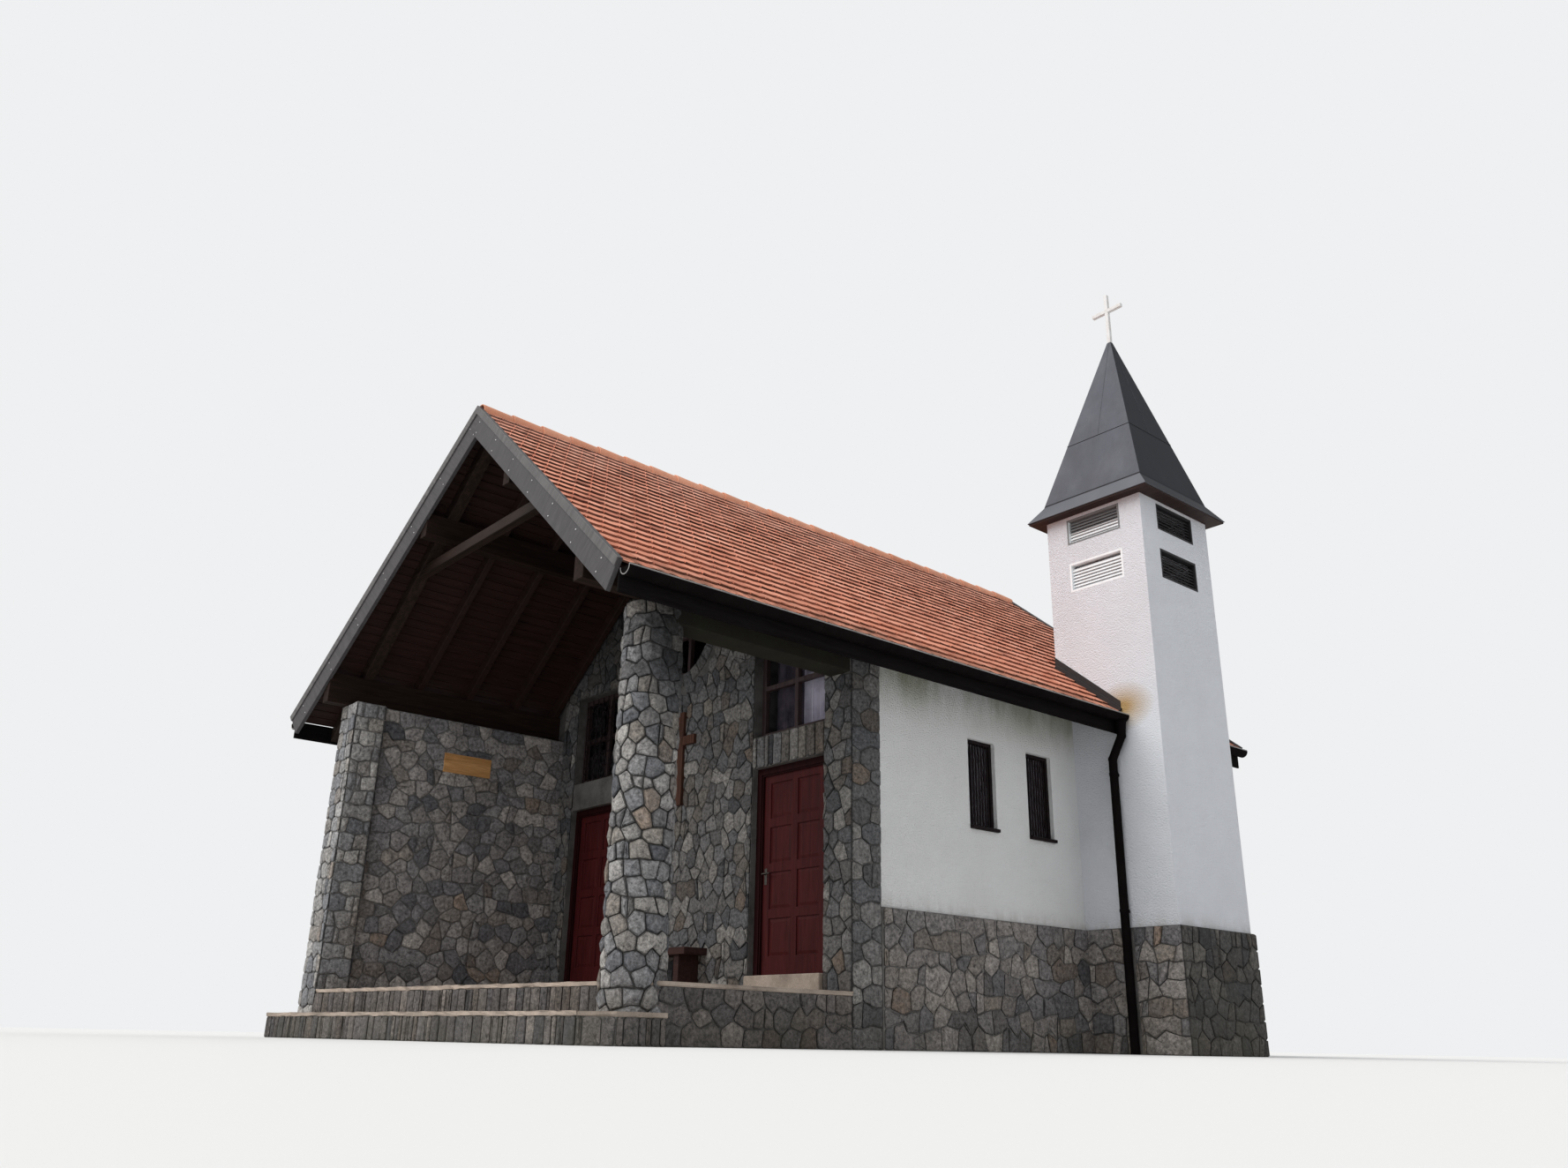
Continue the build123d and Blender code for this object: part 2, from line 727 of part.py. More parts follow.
# Spire: sheet-metal pyramid with a flared skirt, open underneath, over a boarded soffit
def pyramid_part(z0, half0, z1, half1):
    """Square frustum round the tower's axis."""
    low = Plane(origin=(tower_cx, tower_cy, z0)) * Rectangle(2 * half0, 2 * half0)
    high = Plane(origin=(tower_cx, tower_cy, z1)) * Rectangle(2 * half1, 2 * half1)
    return loft([low, high])


spire_out = pyramid_part(skirt_z, skirt_reach, kink_z, kink_reach)
spire_out += pyramid_part(kink_z, kink_reach, spire_top_z, spire_top_half)
spire_in = pyramid_part(skirt_z, skirt_reach - 1.6 * sheet_t, kink_z - sheet_t, kink_reach - sheet_t)
solid_tip_z = spire_top_z - spire_solid_tip
spire_in += pyramid_part(kink_z - sheet_t, kink_reach - sheet_t, solid_tip_z, 2 * spire_top_half)
spire_in_base = block(
    tower_cx - skirt_reach + 1.6 * sheet_t,
    tower_cx + skirt_reach - 1.6 * sheet_t,
    tower_cy - skirt_reach + 1.6 * sheet_t,
    tower_cy + skirt_reach - 1.6 * sheet_t,
    skirt_z - 1,
    skirt_z + 0.5,
)
spire = spire_out - spire_in - spire_in_base
soffit_half = skirt_reach - 15
soffit = block(
    tower_cx - soffit_half,
    tower_cx + soffit_half,
    tower_cy - soffit_half,
    tower_cy + soffit_half,
    skirt_z - soffit_t,
    skirt_z,
)
soffit -= block(tower_x0, tower_x1, tower_y0, tower_y1, 0, tower_h)
soffit -= shaft_hollow
save("spire", spire)
save("spire_soffit", soffit)
upright = block(
    tower_cx - cross_bar / 2,
    tower_cx + cross_bar / 2,
    tower_cy - cross_bar / 2,
    tower_cy + cross_bar / 2,
    spire_top_z,
    cross_top_z,
)
arms = block(
    tower_cx - cross_arm_half,
    tower_cx + cross_arm_half,
    tower_cy - cross_bar / 2,
    tower_cy + cross_bar / 2,
    cross_arm_z - cross_bar / 2,
    cross_arm_z + cross_bar / 2,
)
save("spire_cross", upright + arms)

# Flashing where the roof meets the tower
flash_x0 = tower_x0 - flashing_t
front_strip = [
    (flash_x0, roof_z(flash_x0)),
    (eave_reach, roof_z(eave_reach)),
    (eave_reach, roof_z(eave_reach) + flashing_h),
    (flash_x0, roof_z(flash_x0) + flashing_h),
]
flashing = prism_y(front_strip, tower_y0 - flashing_t, tower_y0)
flashing += prism_y(front_strip, tower_y1, tower_y1 + flashing_t)
left_z = roof_z(flash_x0)
flash_y0, flash_y1 = tower_y0 - flashing_t, tower_y1 + flashing_t
flashing += block(flash_x0, tower_x0, flash_y0, flash_y1, left_z, left_z + flashing_h)
save("tower_flashing", flashing)

# Door frames, sills and panelled leaves
frame_y0 = face_y + frame_setback
frame_y1 = frame_y0 + frame_d
leaf_y0 = frame_y1 - leaf_t
leaf_y1 = frame_y1
hinge_y = frame_y1 + hinge_off
door_top = floor_h + door_h


def door_frame(x0, x1, hinge_side):
    """Frame with a stop on its outer edge and the fixed halves of the hinges."""
    frame = block(x0, x1, frame_y0, frame_y1, floor_h, door_top)
    way_x0, way_x1 = x0 + frame_w, x1 - frame_w
    frame -= block(way_x0, way_x1, frame_y0 - 1, frame_y1 + 1, floor_h - 1, door_top - frame_w)
    stop_y = leaf_y0 - leaf_gap
    in0, in1, in_top = x0 + frame_w, x1 - frame_w, door_top - frame_w
    stop = block(in0 - 1, in1 + 1, stop_y - stop_t, stop_y, floor_h, in_top + 1)
    way_y0, way_y1 = stop_y - stop_t - 1, stop_y + 1
    stop -= block(in0 + stop_w, in1 - stop_w, way_y0, way_y1, floor_h - 1, in_top - stop_w)
    frame += stop
    hinge_x = x1 - frame_w - leaf_gap / 2 if hinge_side > 0 else x0 + frame_w + leaf_gap / 2
    for z in hinge_heights:
        base = floor_h + z
        frame += Pos(hinge_x, hinge_y, base + hinge_h / 4) * Cylinder(hinge_r, hinge_h / 2)
        tab_x0, tab_x1 = sorted((hinge_x + hinge_side * 3, hinge_x + hinge_side * 34))
        frame += block(tab_x0, tab_x1, frame_y1 - 1, frame_y1 + 3, base, base + hinge_h / 2)
        web_x0, web_x1 = sorted((hinge_x + hinge_side * 3, hinge_x + hinge_side * (3 + hinge_web)))
        frame += block(web_x0, web_x1, frame_y1, hinge_y, base, base + hinge_h / 2)
        frame += Pos(hinge_x, hinge_y, base + hinge_h * 0.45) * Cylinder(hinge_pin_r, hinge_h * 0.9)
    return frame, hinge_x


def leaf_panels(x0, x1, z0, z1):
    """Sunk panel fields, two across and four up, each with a raised middle."""
    inner_w = x1 - x0 - 2 * stile_w - rail_w
    inner_h = z1 - z0 - bottom_rail - 4 * rail_w
    pw, ph = inner_w / 2, inner_h / 4
    fields = []
    for col in range(2):
        for row in range(4):
            cx = x0 + stile_w + pw / 2 + col * (pw + rail_w)
            cz = z0 + bottom_rail + ph / 2 + row * (ph + rail_w)
            fields.append((cx, cz, pw, ph))
    return fields


def door_leaf(x0, x1, hinge_x, hinge_side):
    """Panelled leaf with its lever handles and the moving halves of the hinges."""
    lx0, lx1 = x0 + frame_w + leaf_gap, x1 - frame_w - leaf_gap
    z0, z1 = floor_h + leaf_gap, door_top - frame_w - leaf_gap
    leaf = block(lx0, lx1, leaf_y0, leaf_y1, z0, z1)
    for cx, cz, pw, ph in leaf_panels(lx0, lx1, z0, z1):
        for y, way in ((leaf_y0, 1), (leaf_y1, -1)):
            near, deep = sorted((y - way * 1, y + way * panel_sink))
            leaf -= block(cx - pw / 2, cx + pw / 2, near, deep, cz - ph / 2, cz + ph / 2)
            base_plane = Plane(origin=(cx, y + way * panel_sink, cz), z_dir=(0, -way, 0))
            low = base_plane * Rectangle(pw - 2 * panel_gap, ph - 2 * panel_gap)
            top_w, top_h = pw - 2 * panel_gap - 2 * panel_bevel, ph - 2 * panel_gap - 2 * panel_bevel
            high = base_plane.offset(panel_rise) * Rectangle(top_w, top_h)
            if abs(base_plane.x_dir.X) < 0.5:
                low = base_plane * Rectangle(ph - 2 * panel_gap, pw - 2 * panel_gap)
                high = base_plane.offset(panel_rise) * Rectangle(top_h, top_w)
            leaf += loft([low, high])
    bore_r = hinge_pin_r + hinge_clear
    for z in hinge_heights:
        base = floor_h + z + hinge_h / 2 + hinge_clear
        knuckle = Pos(hinge_x, hinge_y, base + hinge_h / 4) * Cylinder(hinge_r, hinge_h / 2)
        tab_x0, tab_x1 = sorted((hinge_x - hinge_side * 3, hinge_x - hinge_side * 34))
        knuckle += block(tab_x0, tab_x1, leaf_y1 - 1, leaf_y1 + 3, base, base + hinge_h / 2)
        web_x0, web_x1 = sorted((hinge_x - hinge_side * 3, hinge_x - hinge_side * (3 + hinge_web)))
        knuckle += block(web_x0, web_x1, leaf_y1, hinge_y, base, base + hinge_h / 2)
        knuckle -= Pos(hinge_x, hinge_y, base + hinge_h / 4) * Cylinder(bore_r, hinge_h)
        leaf += knuckle
    return leaf


def door_handles(x0, x1, hinge_side):
    """Lever and long plate on each face of a leaf."""
    lx0, lx1 = x0 + frame_w + leaf_gap, x1 - frame_w - leaf_gap
    grip_x = lx0 + stile_w / 2 if hinge_side > 0 else lx1 - stile_w / 2
    grip_z = floor_h + handle_h
    low_z, high_z = grip_z - handle_plate_down, grip_z + handle_plate_up
    sets = []
    for y, way in ((leaf_y0, -1), (leaf_y1, 1)):
        plate_y0, plate_y1 = sorted((y, y + way * handle_plate_t))
        half = handle_plate_w / 2
        one = block(grip_x - half, grip_x + half, plate_y0, plate_y1, low_z, high_z)
        neck = Rot(90, 0, 0) * Cylinder(handle_r, handle_reach)
        one += Pos(grip_x, y + way * handle_reach / 2, grip_z) * neck
        lever_x = grip_x + hinge_side * (handle_len / 2 - handle_r)
        lever = Rot(0, 90, 0) * Cylinder(handle_r, handle_len)
        one += Pos(lever_x, y + way * handle_reach, grip_z) * lever
        sets.append(one)
    return Compound(sets)


frames = []
for (x0, x1), side, word in ((door_spans[0], -1, "left"), (door_spans[1], 1, "right")):
    frame, hinge_x = door_frame(x0, x1, side)
    frames.append(frame)
    save(f"door_leaf_{word}", door_leaf(x0, x1, hinge_x, side))
    save(f"door_handles_{word}", door_handles(x0, x1, side))
    print(f"door {word} hinge axis x {hinge_x:.1f} y {hinge_y:.1f}")
save("door_frames", Compound(frames))
sills = [
    block(x0, x1, face_y - sill_front, inner_face_y, porch_floor_h, floor_h) for x0, x1 in door_spans
]
sill_seats = [block(x0, x1, face_y, inner_face_y, 0, porch_floor_h) for x0, x1 in door_spans]
save("door_sills", Compound([sill + seat for sill, seat in zip(sills, sill_seats)]))

# Upper front windows: frame, mullion and transom round four panes
window_y0 = face_y + upper_setback
window_frames = []
panes = []
for x0, x1 in window_spans:
    frame = block(x0, x1, window_y0, window_y0 + sash_d, upper_sill_z, upper_head_z)
    in0, in1 = x0 + sash_w, x1 - sash_w
    low, high = upper_sill_z + sash_w, upper_head_z - sash_w
    frame -= block(in0, in1, window_y0 - 1, window_y0 + sash_d + 1, low, high)
    cx, cz = (x0 + x1) / 2, (upper_sill_z + upper_head_z) / 2
    half = mullion_w / 2
    frame += block(cx - half, cx + half, window_y0, window_y0 + sash_d, low, high)
    frame += block(in0, in1, window_y0, window_y0 + sash_d, cz - half, cz + half)
    window_frames.append(frame)
    glass_y = window_y0 + sash_d
    lap = sash_w / 2
    panes.append(block(in0 - lap, in1 + lap, glass_y, glass_y + glass_t, low - lap, high + lap))

# Round window high in the gable
ring = Cylinder(oculus_r, sash_d) - Cylinder(oculus_r - sash_w, sash_d + 2)
ring += Box(mullion_w, 2 * oculus_r - sash_w, sash_d) + Box(2 * oculus_r - sash_w, mullion_w, sash_d)
oculus_frame = Pos(0, window_y0 + sash_d / 2, oculus_z) * Rot(90, 0, 0) * ring
round_pane = Rot(90, 0, 0) * Cylinder(oculus_r - sash_w / 2, glass_t)
panes.append(Pos(0, window_y0 + sash_d + glass_t / 2, oculus_z) * round_pane)
save("front_window_frames", Compound(window_frames + [oculus_frame]))

# Tall side windows: steel frame, pane behind it and a projecting sill
side_frames = []
side_sills = []
for side, places in ((1, side_right_y), (-1, side_left_y)):
    for y in places:
        y0 = face_y + y - side_window_w / 2
        y1 = y0 + side_window_w
        outer = half_width - side_setback
        x0, x1 = sorted((side * outer, side * (outer - side_frame_d)))
        frame = block(x0, x1, y0, y1, side_sill_z, side_head_z)
        in0, in1 = y0 + side_frame_w, y1 - side_frame_w
        frame -= block(x0 - 1, x1 + 1, in0, in1, side_sill_z + side_frame_w, side_head_z - side_frame_w)
        side_frames.append(frame)
        gx0, gx1 = sorted((side * (outer - side_frame_d), side * (outer - side_frame_d - glass_t)))
        lap = side_frame_w / 2
        panes.append(block(gx0, gx1, y0 + lap, y1 - lap, side_sill_z + lap, side_head_z - lap))
        sx0, sx1 = sorted((side * outer, side * (half_width + sill_reach)))
        sill = block(sx0, sx1, y0, y1, side_sill_z, side_sill_z + sill_t)
        side_sills.append(sill)
save("side_window_frames", Compound(side_frames))
save("side_window_sills", Compound(side_sills))
save("window_glass", Compound(panes))

# Cross on the front wall, blank plaque on the porch wall, bench between the doors
cross = block(
    wall_cross_x - wall_cross_w / 2,
    wall_cross_x + wall_cross_w / 2,
    face_y - wall_cross_t,
    face_y,
    wall_cross_z0,
    wall_cross_z1,
)
cross += block(
    wall_cross_x - wall_cross_arm_half,
    wall_cross_x + wall_cross_arm_half,
    face_y - wall_cross_t,
    face_y,
    wall_cross_arm_z - wall_cross_w / 2,
    wall_cross_arm_z + wall_cross_w / 2,
)
save("wall_cross", cross)
plaque = block(
    -inner_x, -inner_x + plaque_t, face_y - plaque_y[1], face_y - plaque_y[0], plaque_z[0], plaque_z[1]
)
save("plaque", plaque)
seat_y0 = face_y - bench_d
bench = block(bench_x[0], bench_x[1], seat_y0, face_y, bench_seat_z - bench_seat_t, bench_seat_z)
leg_y0, leg_top = seat_y0 + bench_leg_back, bench_seat_z - bench_seat_t
for x in (bench_x[0] + bench_leg_in, bench_x[1] - bench_leg_in - bench_leg_t):
    bench += block(x, x + bench_leg_t, leg_y0, face_y, porch_floor_h, leg_top)
save("porch_bench", bench)
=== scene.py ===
import json
import math
import random

import bmesh
import bpy
from mathutils import Matrix, Vector

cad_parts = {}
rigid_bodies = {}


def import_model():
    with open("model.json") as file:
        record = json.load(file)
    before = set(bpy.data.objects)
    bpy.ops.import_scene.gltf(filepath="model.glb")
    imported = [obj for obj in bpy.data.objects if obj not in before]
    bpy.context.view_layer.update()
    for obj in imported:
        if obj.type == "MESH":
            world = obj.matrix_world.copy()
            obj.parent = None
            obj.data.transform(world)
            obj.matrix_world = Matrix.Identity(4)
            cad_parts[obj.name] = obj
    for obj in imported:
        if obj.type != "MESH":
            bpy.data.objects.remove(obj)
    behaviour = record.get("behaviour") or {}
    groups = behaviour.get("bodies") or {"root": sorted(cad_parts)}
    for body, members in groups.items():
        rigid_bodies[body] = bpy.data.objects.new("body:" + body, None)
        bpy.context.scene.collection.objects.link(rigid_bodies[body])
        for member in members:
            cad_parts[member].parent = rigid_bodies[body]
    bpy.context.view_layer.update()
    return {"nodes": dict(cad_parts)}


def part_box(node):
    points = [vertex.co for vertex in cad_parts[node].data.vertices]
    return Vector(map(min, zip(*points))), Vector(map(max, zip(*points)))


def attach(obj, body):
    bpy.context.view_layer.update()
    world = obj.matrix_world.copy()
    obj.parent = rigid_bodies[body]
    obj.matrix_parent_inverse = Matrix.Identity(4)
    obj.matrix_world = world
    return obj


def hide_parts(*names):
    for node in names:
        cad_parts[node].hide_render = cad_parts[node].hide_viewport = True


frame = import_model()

cad = frame["nodes"]
scene = bpy.context.scene
scene.view_settings.view_transform = "Standard"


def clear_selection():
    """Leaves nothing selected, so the next operator acts on the new piece alone."""
    if bpy.context.mode != "OBJECT":
        bpy.ops.object.mode_set(mode="OBJECT")
    bpy.ops.object.select_all(action="DESELECT")


def feed(tree, node, values):
    """Fills a node's inputs: a socket is linked, any other value is set."""
    for key, value in values.items():
        if isinstance(value, bpy.types.NodeSocket):
            tree.links.new(value, node.inputs[key])
        elif node.inputs[key].type == "RGBA":
            node.inputs[key].default_value = (*value, 1)
        else:
            node.inputs[key].default_value = value


def put(tree, kind, values=None, **settings):
    """New shader node with its settings and its inputs filled."""
    node = tree.nodes.new("ShaderNode" + kind)
    for key, value in settings.items():
        setattr(node, key, value)
    feed(tree, node, values or {})
    return node


def first_of(tree, kind, values=None, **settings):
    """First output of a new shader node."""
    return put(tree, kind, values, **settings).outputs[0]


def calc(tree, operation, *values):
    """Result of a math node."""
    return first_of(tree, "Math", dict(enumerate(values)), operation=operation)


def calc_vector(tree, operation, *values):
    """Result of a vector math node."""
    return first_of(tree, "VectorMath", dict(enumerate(values)), operation=operation)


def new_finish(name, roughness, specular=0.35, metallic=0.0):
    """Material with its shader's plain values set, its node tree and its shader."""
    made = bpy.data.materials.new(name)
    made.use_nodes = True
    shader = made.node_tree.nodes["Principled BSDF"]
    values = {"Roughness": roughness, "Specular IOR Level": specular, "Metallic": metallic}
    feed(made.node_tree, shader, values)
    return made, made.node_tree, shader


lens = bpy.data.cameras.new("viewpoint")
lens.lens = 27.94
lens.sensor_width = 36
viewpoint = bpy.data.objects.new("viewpoint", lens)
scene.collection.objects.link(viewpoint)
turn = Matrix.Rotation(math.radians(49.642), 4, "Z")
tilt = Matrix.Rotation(math.radians(90 + 20.64), 4, "X")
roll = Matrix.Rotation(math.radians(1.137), 4, "Z")
viewpoint.matrix_world = Matrix.Translation((11.91, -8.68, 0.055)) @ turn @ tilt @ roll
scene.camera = viewpoint

clear_selection()
bpy.ops.mesh.primitive_plane_add(size=400, location=(0, 0, 0))
floor = bpy.context.object
floor.name = "studio_floor"
floor_finish, tree, shader = new_finish("studio_floor", 0.9, 0.1)
feed(tree, shader, {"Base Color": (0.72, 0.72, 0.71)})
floor.data.materials.append(floor_finish)

sky = bpy.data.worlds.new("studio")
scene.world = sky
sky.use_nodes = True
tree = sky.node_tree
soft = tree.nodes["Background"]
feed(tree, soft, {"Color": (0.945, 0.965, 0.995), "Strength": 0.60})
pale = first_of(tree, "Background", {"Color": (0.86, 0.87, 0.88), "Strength": 1.0})
path = put(tree, "LightPath").outputs
seen = calc(tree, "MAXIMUM", path["Is Camera Ray"], path["Is Glossy Ray"])
seen = calc(tree, "MAXIMUM", seen, path["Is Transmission Ray"])
either = first_of(tree, "MixShader", {"Fac": seen, 1: soft.outputs[0], 2: pale})
feed(tree, tree.nodes["World Output"], {"Surface": either})

lamp = bpy.data.lights.new("soft_key", "SUN")
lamp.energy = 2.8
lamp.angle = math.radians(60)
lamp.color = (1.0, 0.985, 0.96)
soft_key = bpy.data.objects.new("soft_key", lamp)
soft_key.rotation_euler = (math.radians(42), 0, math.radians(-12))
scene.collection.objects.link(soft_key)

# Rubble masonry of the porch, the front wall and the plinths
# Irregular grey and tan field stones laid in lime mortar, with dark recessed joints and bigger squared
# stones at the pier. The CAD walls stay as the mortar bed, and the stones stand a little proud.
stone_proud, stone_joint = 0.016, 0.011
least_area, stone_rim, stone_rough = 0.0022, 0.011, 0.004
border = 1e-3
plinth_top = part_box("nave_plinth")[1].z
base_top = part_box("porch_base")[1].z


def edit_mode():
    bpy.ops.object.mode_set(mode="EDIT")


def object_mode():
    bpy.ops.object.mode_set(mode="OBJECT")


def settle():
    """Applies the active piece's place, turn and size to its mesh."""
    bpy.ops.object.transform_apply(location=True, rotation=True, scale=True)


def select_all():
    bpy.ops.mesh.select_all(action="SELECT")


def slice_all(point, normal, **settings):
    """Cuts the whole mesh that is in edit mode along a plane."""
    select_all()
    bpy.ops.mesh.bisect(plane_co=point, plane_no=normal, **settings)


def face_outwards():
    select_all()
    bpy.ops.mesh.normals_make_consistent(inside=False)


def smooth(degrees):
    bpy.ops.object.shade_smooth_by_angle(angle=math.radians(degrees))


def clamp(value):
    return min(1.0, max(0.0, value))


def choose(obj, test, kind="FACE"):
    """Selects, in edit mode, the faces, edges or corners that the test picks."""
    bpy.ops.mesh.select_mode(type=kind)
    bpy.ops.mesh.select_all(action="DESELECT")
    shape = bmesh.from_edit_mesh(obj.data)
    for item in {"VERT": shape.verts, "EDGE": shape.edges, "FACE": shape.faces}[kind]:
        if test(item):
            item.select_set(True)
    shape.select_flush_mode()
    bmesh.update_edit_mesh(obj.data)


def drop_faces(obj, test):
    """Deletes, in edit mode, the faces that the test picks."""
    choose(obj, test)
    if obj.data.total_face_sel:
        bpy.ops.mesh.delete(type="FACE")


def mark_faces(obj, label, value_of):
    """Stores one value for each face, worked out from the face."""
    marks = obj.data.attributes.new(label, "FLOAT", "FACE")
    for face, mark in zip(obj.data.polygons, marks.data):
        mark.value = value_of(face)


def tone_faces(obj, label, seed, islands=None):
    """One random tone for each face, or for each run of faces of one repeated shape."""
    rng = random.Random(seed)
    tones = obj.data.attributes.new(label, "FLOAT", "FACE")
    value = 0.0
    for i, one in enumerate(tones.data):
        if islands is None or i % islands == 0:
            value = rng.random()
        one.value = value


def cut_hole(panel, u0, u1, v0, v1):
    """Cuts a rectangular opening out of a flat panel that is in edit mode."""

    def touches(face):
        xs = [v.co.x for v in face.verts]
        ys = [v.co.y for v in face.verts]
        return max(xs) > u0 and min(xs) < u1 and max(ys) > v0 and min(ys) < v1

    def inside(face):
        middle = face.calc_center_median()
        return u0 < middle.x < u1 and v0 < middle.y < v1

    cuts = [((u, 0, 0), (1, 0, 0)) for u in (u0, u1)] + [((0, v, 0), (0, 1, 0)) for v in (v0, v1)]
    for point, normal in cuts:
        choose(panel, touches)
        if panel.data.total_face_sel:
            bpy.ops.mesh.bisect(plane_co=point, plane_no=normal)
    drop_faces(panel, inside)


def lay_stones(
    start, end, z0, z1, cell=(0.090, 0.150), wander=0.036, seed=1, holes=(), slopes=(), joint=stone_joint,
    proud=stone_proud, corner=0.018, small=0.10, long=0.10, zigzag=0.17, bulge=0.005, lean=0.0,
):
    """Rubble facing from one plan point to the next, seen from the right-hand side of the run."""
    along = Vector((end[0] - start[0], end[1] - start[1], 0))
    width, height = along.length, z1 - z0
    along.normalize()
    nx, ny = max(2, round(width / cell[0])), max(1, round(height / cell[1]))
    rng = random.Random(seed)
    clear_selection()
    bpy.ops.mesh.primitive_grid_add(
        x_subdivisions=nx, y_subdivisions=ny, size=1, location=(width / 2, height / 2, 0)
    )
    panel = bpy.context.object
    panel.scale = (width, height, 1)
    settle()
    edit_mode()

    def left_out(edge):
        a, b = edge.verts
        if abs(a.co.x - b.co.x) > 1e-4:
            return False
        col = round(a.co.x / width * nx)
        row = round(min(a.co.y, b.co.y) / height * ny)
        if not 0 < col < nx:
            return False
        chance = small if (col + row) % 2 == 0 else 1 - long
        return rng.random() > chance

    choose(panel, left_out, "EDGE")
    bpy.ops.mesh.dissolve_edges(use_verts=False)

    def inner(vert):
        return border < vert.co.x < width - border and border < vert.co.y < height - border

    def junction(vert):
        return (round(vert.co.x / width * nx) + round(vert.co.y / height * ny)) % 2

    for odd, way in ((1, 1), (0, -1)):
        choose(panel, lambda v: inner(v) and junction(v) == odd, "VERT")
        if panel.data.total_vert_sel and zigzag:
            bpy.ops.transform.translate(value=(0, way * zigzag * height / ny, 0))
    choose(panel, inner, "VERT")
    if panel.data.total_vert_sel:
        bpy.ops.transform.vertex_random(offset=wander, uniform=1.0, seed=seed)
        bpy.ops.transform.resize(value=(1, 1, 0), center_override=(0, 0, 0))
    for edge_y in (0, height) if lean else ():
        choose(panel, lambda v: abs(v.co.y - edge_y) < border < v.co.x < width - border, "VERT")
        bpy.ops.transform.vertex_random(offset=lean, uniform=1.0, seed=seed + 5)
        bpy.ops.transform.resize(value=(1, 0, 0), center_override=(0, edge_y, 0))
    for hole in holes:
        cut_hole(panel, *hole)
    for point, normal in slopes:
        slice_all((*point, 0), (*normal, 0), clear_outer=True)
    drop_faces(panel, lambda f: f.calc_area() < least_area)
    choose(panel, lambda f: True)
    bpy.ops.mesh.normals_make_consistent(inside=False)
    bpy.ops.mesh.inset(thickness=joint / 2, use_individual=True)
    bpy.ops.mesh.select_all(action="INVERT")
    bpy.ops.mesh.delete(type="FACE")
    choose(panel, lambda v: True, "VERT")
    bpy.ops.mesh.bevel(offset=corner, affect="VERTICES", segments=1, clamp_overlap=True)
    object_mode()
    tone_faces(panel, "stone_tone", seed + 7)
    edit_mode()

    def on_top(face):
        return face.normal.z > 0.9 and face.calc_center_median().z > proud * 0.5

    choose(panel, lambda f: True)
    bpy.ops.mesh.extrude_region_move(TRANSFORM_OT_translate={"value": (0, 0, proud * 0.65)})
    choose(panel, lambda f: on_top(f) and rng.random() < 0.4)
    if panel.data.total_face_sel:
        bpy.ops.transform.translate(value=(0, 0, proud * 0.3))
    choose(panel, on_top)
    bpy.ops.mesh.inset(thickness=stone_rim, depth=proud * 0.35, use_individual=True)
    bpy.ops.mesh.poke(offset=bulge, use_relative_offset=False)
    bpy.ops.transform.vertex_random(offset=stone_rough, uniform=1.0, seed=seed + 3)
    object_mode()
    # Painted shade: the sides and sloped rims of each stone, toward the joints, are marked for darkening.
    mark_faces(panel, "painted_shade", lambda f: clamp((0.96 - f.normal.z) * 3.0))
    panel.matrix_world = Matrix((
        (along.x, 0, along.y, start[0]),
        (along.y, 0, -along.x, start[1]),
        (0, 1, 0, z0),
        (0, 0, 0, 1),
    ))
    settle()
    return panel


def joined(name, parts, finish, body="chapel"):
    """Joins finished parts into one piece with its name, finish, body and slot."""
    clear_selection()
    for part in parts:
        part.select_set(True)
    bpy.context.view_layer.objects.active = parts[0]
    if len(parts) > 1:
        bpy.ops.object.join()
    piece = bpy.context.view_layer.objects.active
    piece.name = name
    piece.data.name = name
    piece.data.materials.clear()
    piece.data.materials.append(finish)
    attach(piece, body)
    return piece


def new_group(name, inputs, outputs):
    """Shader node group made of inputs with starting values and outputs by kind, and its two ends."""
    group = bpy.data.node_groups.new(name, "ShaderNodeTree")
    for label, value in inputs.items():
        kind = "Float" if isinstance(value, float) else {3: "Vector", 4: "Color"}[len(value)]
        socket = group.interface.new_socket(label, in_out="INPUT", socket_type="NodeSocket" + kind)
        socket.default_value = value
    for label, kind in outputs.items():
        group.interface.new_socket(label, in_out="OUTPUT", socket_type="NodeSocket" + kind)
    return group, group.nodes.new("NodeGroupInput").outputs, group.nodes.new("NodeGroupOutput")


def use_group(tree, group, values):
    """Outputs of a node group placed in a material with its own values."""
    node = tree.nodes.new("ShaderNodeGroup")
    node.node_tree = group
    feed(tree, node, values)
    return node.outputs


def blend(tree, mode, fac, low, high):
    """Mixes two colours."""
    node = put(tree, "Mix", {0: fac, 6: low, 7: high}, data_type="RGBA", blend_type=mode, clamp_factor=True)
    return node.outputs[2]


def here(tree):
    """Object coordinates."""
    return put(tree, "TexCoord").outputs["Object"]


def height_above_floor(tree):
    return put(tree, "SeparateXYZ", {0: here(tree)}).outputs["Z"]


def face_value(tree, label):
    """Value stored on the faces under a name."""
    return put(tree, "Attribute", attribute_name=label).outputs["Fac"]


def noise(tree, where, scale, detail, roughness, distortion=0.0):
    """Value of a noise texture."""
    values = {"Vector": where, "Scale": scale, "Detail": detail, "Roughness": roughness}
    return first_of(tree, "TexNoise", {**values, "Distortion": distortion})


def remap(tree, value, low, high, to_low=0.0, to_high=1.0, **settings):
    """Value moved from one range to another."""
    span = {"Value": value, "From Min": low, "From Max": high, "To Min": to_low, "To Max": to_high}
    return first_of(tree, "MapRange", span, **settings)


def scaled(tree, colour, level):
    """Colour made lighter or darker."""
    return first_of(tree, "VectorMath", {0: colour, "Scale": level}, operation="SCALE")


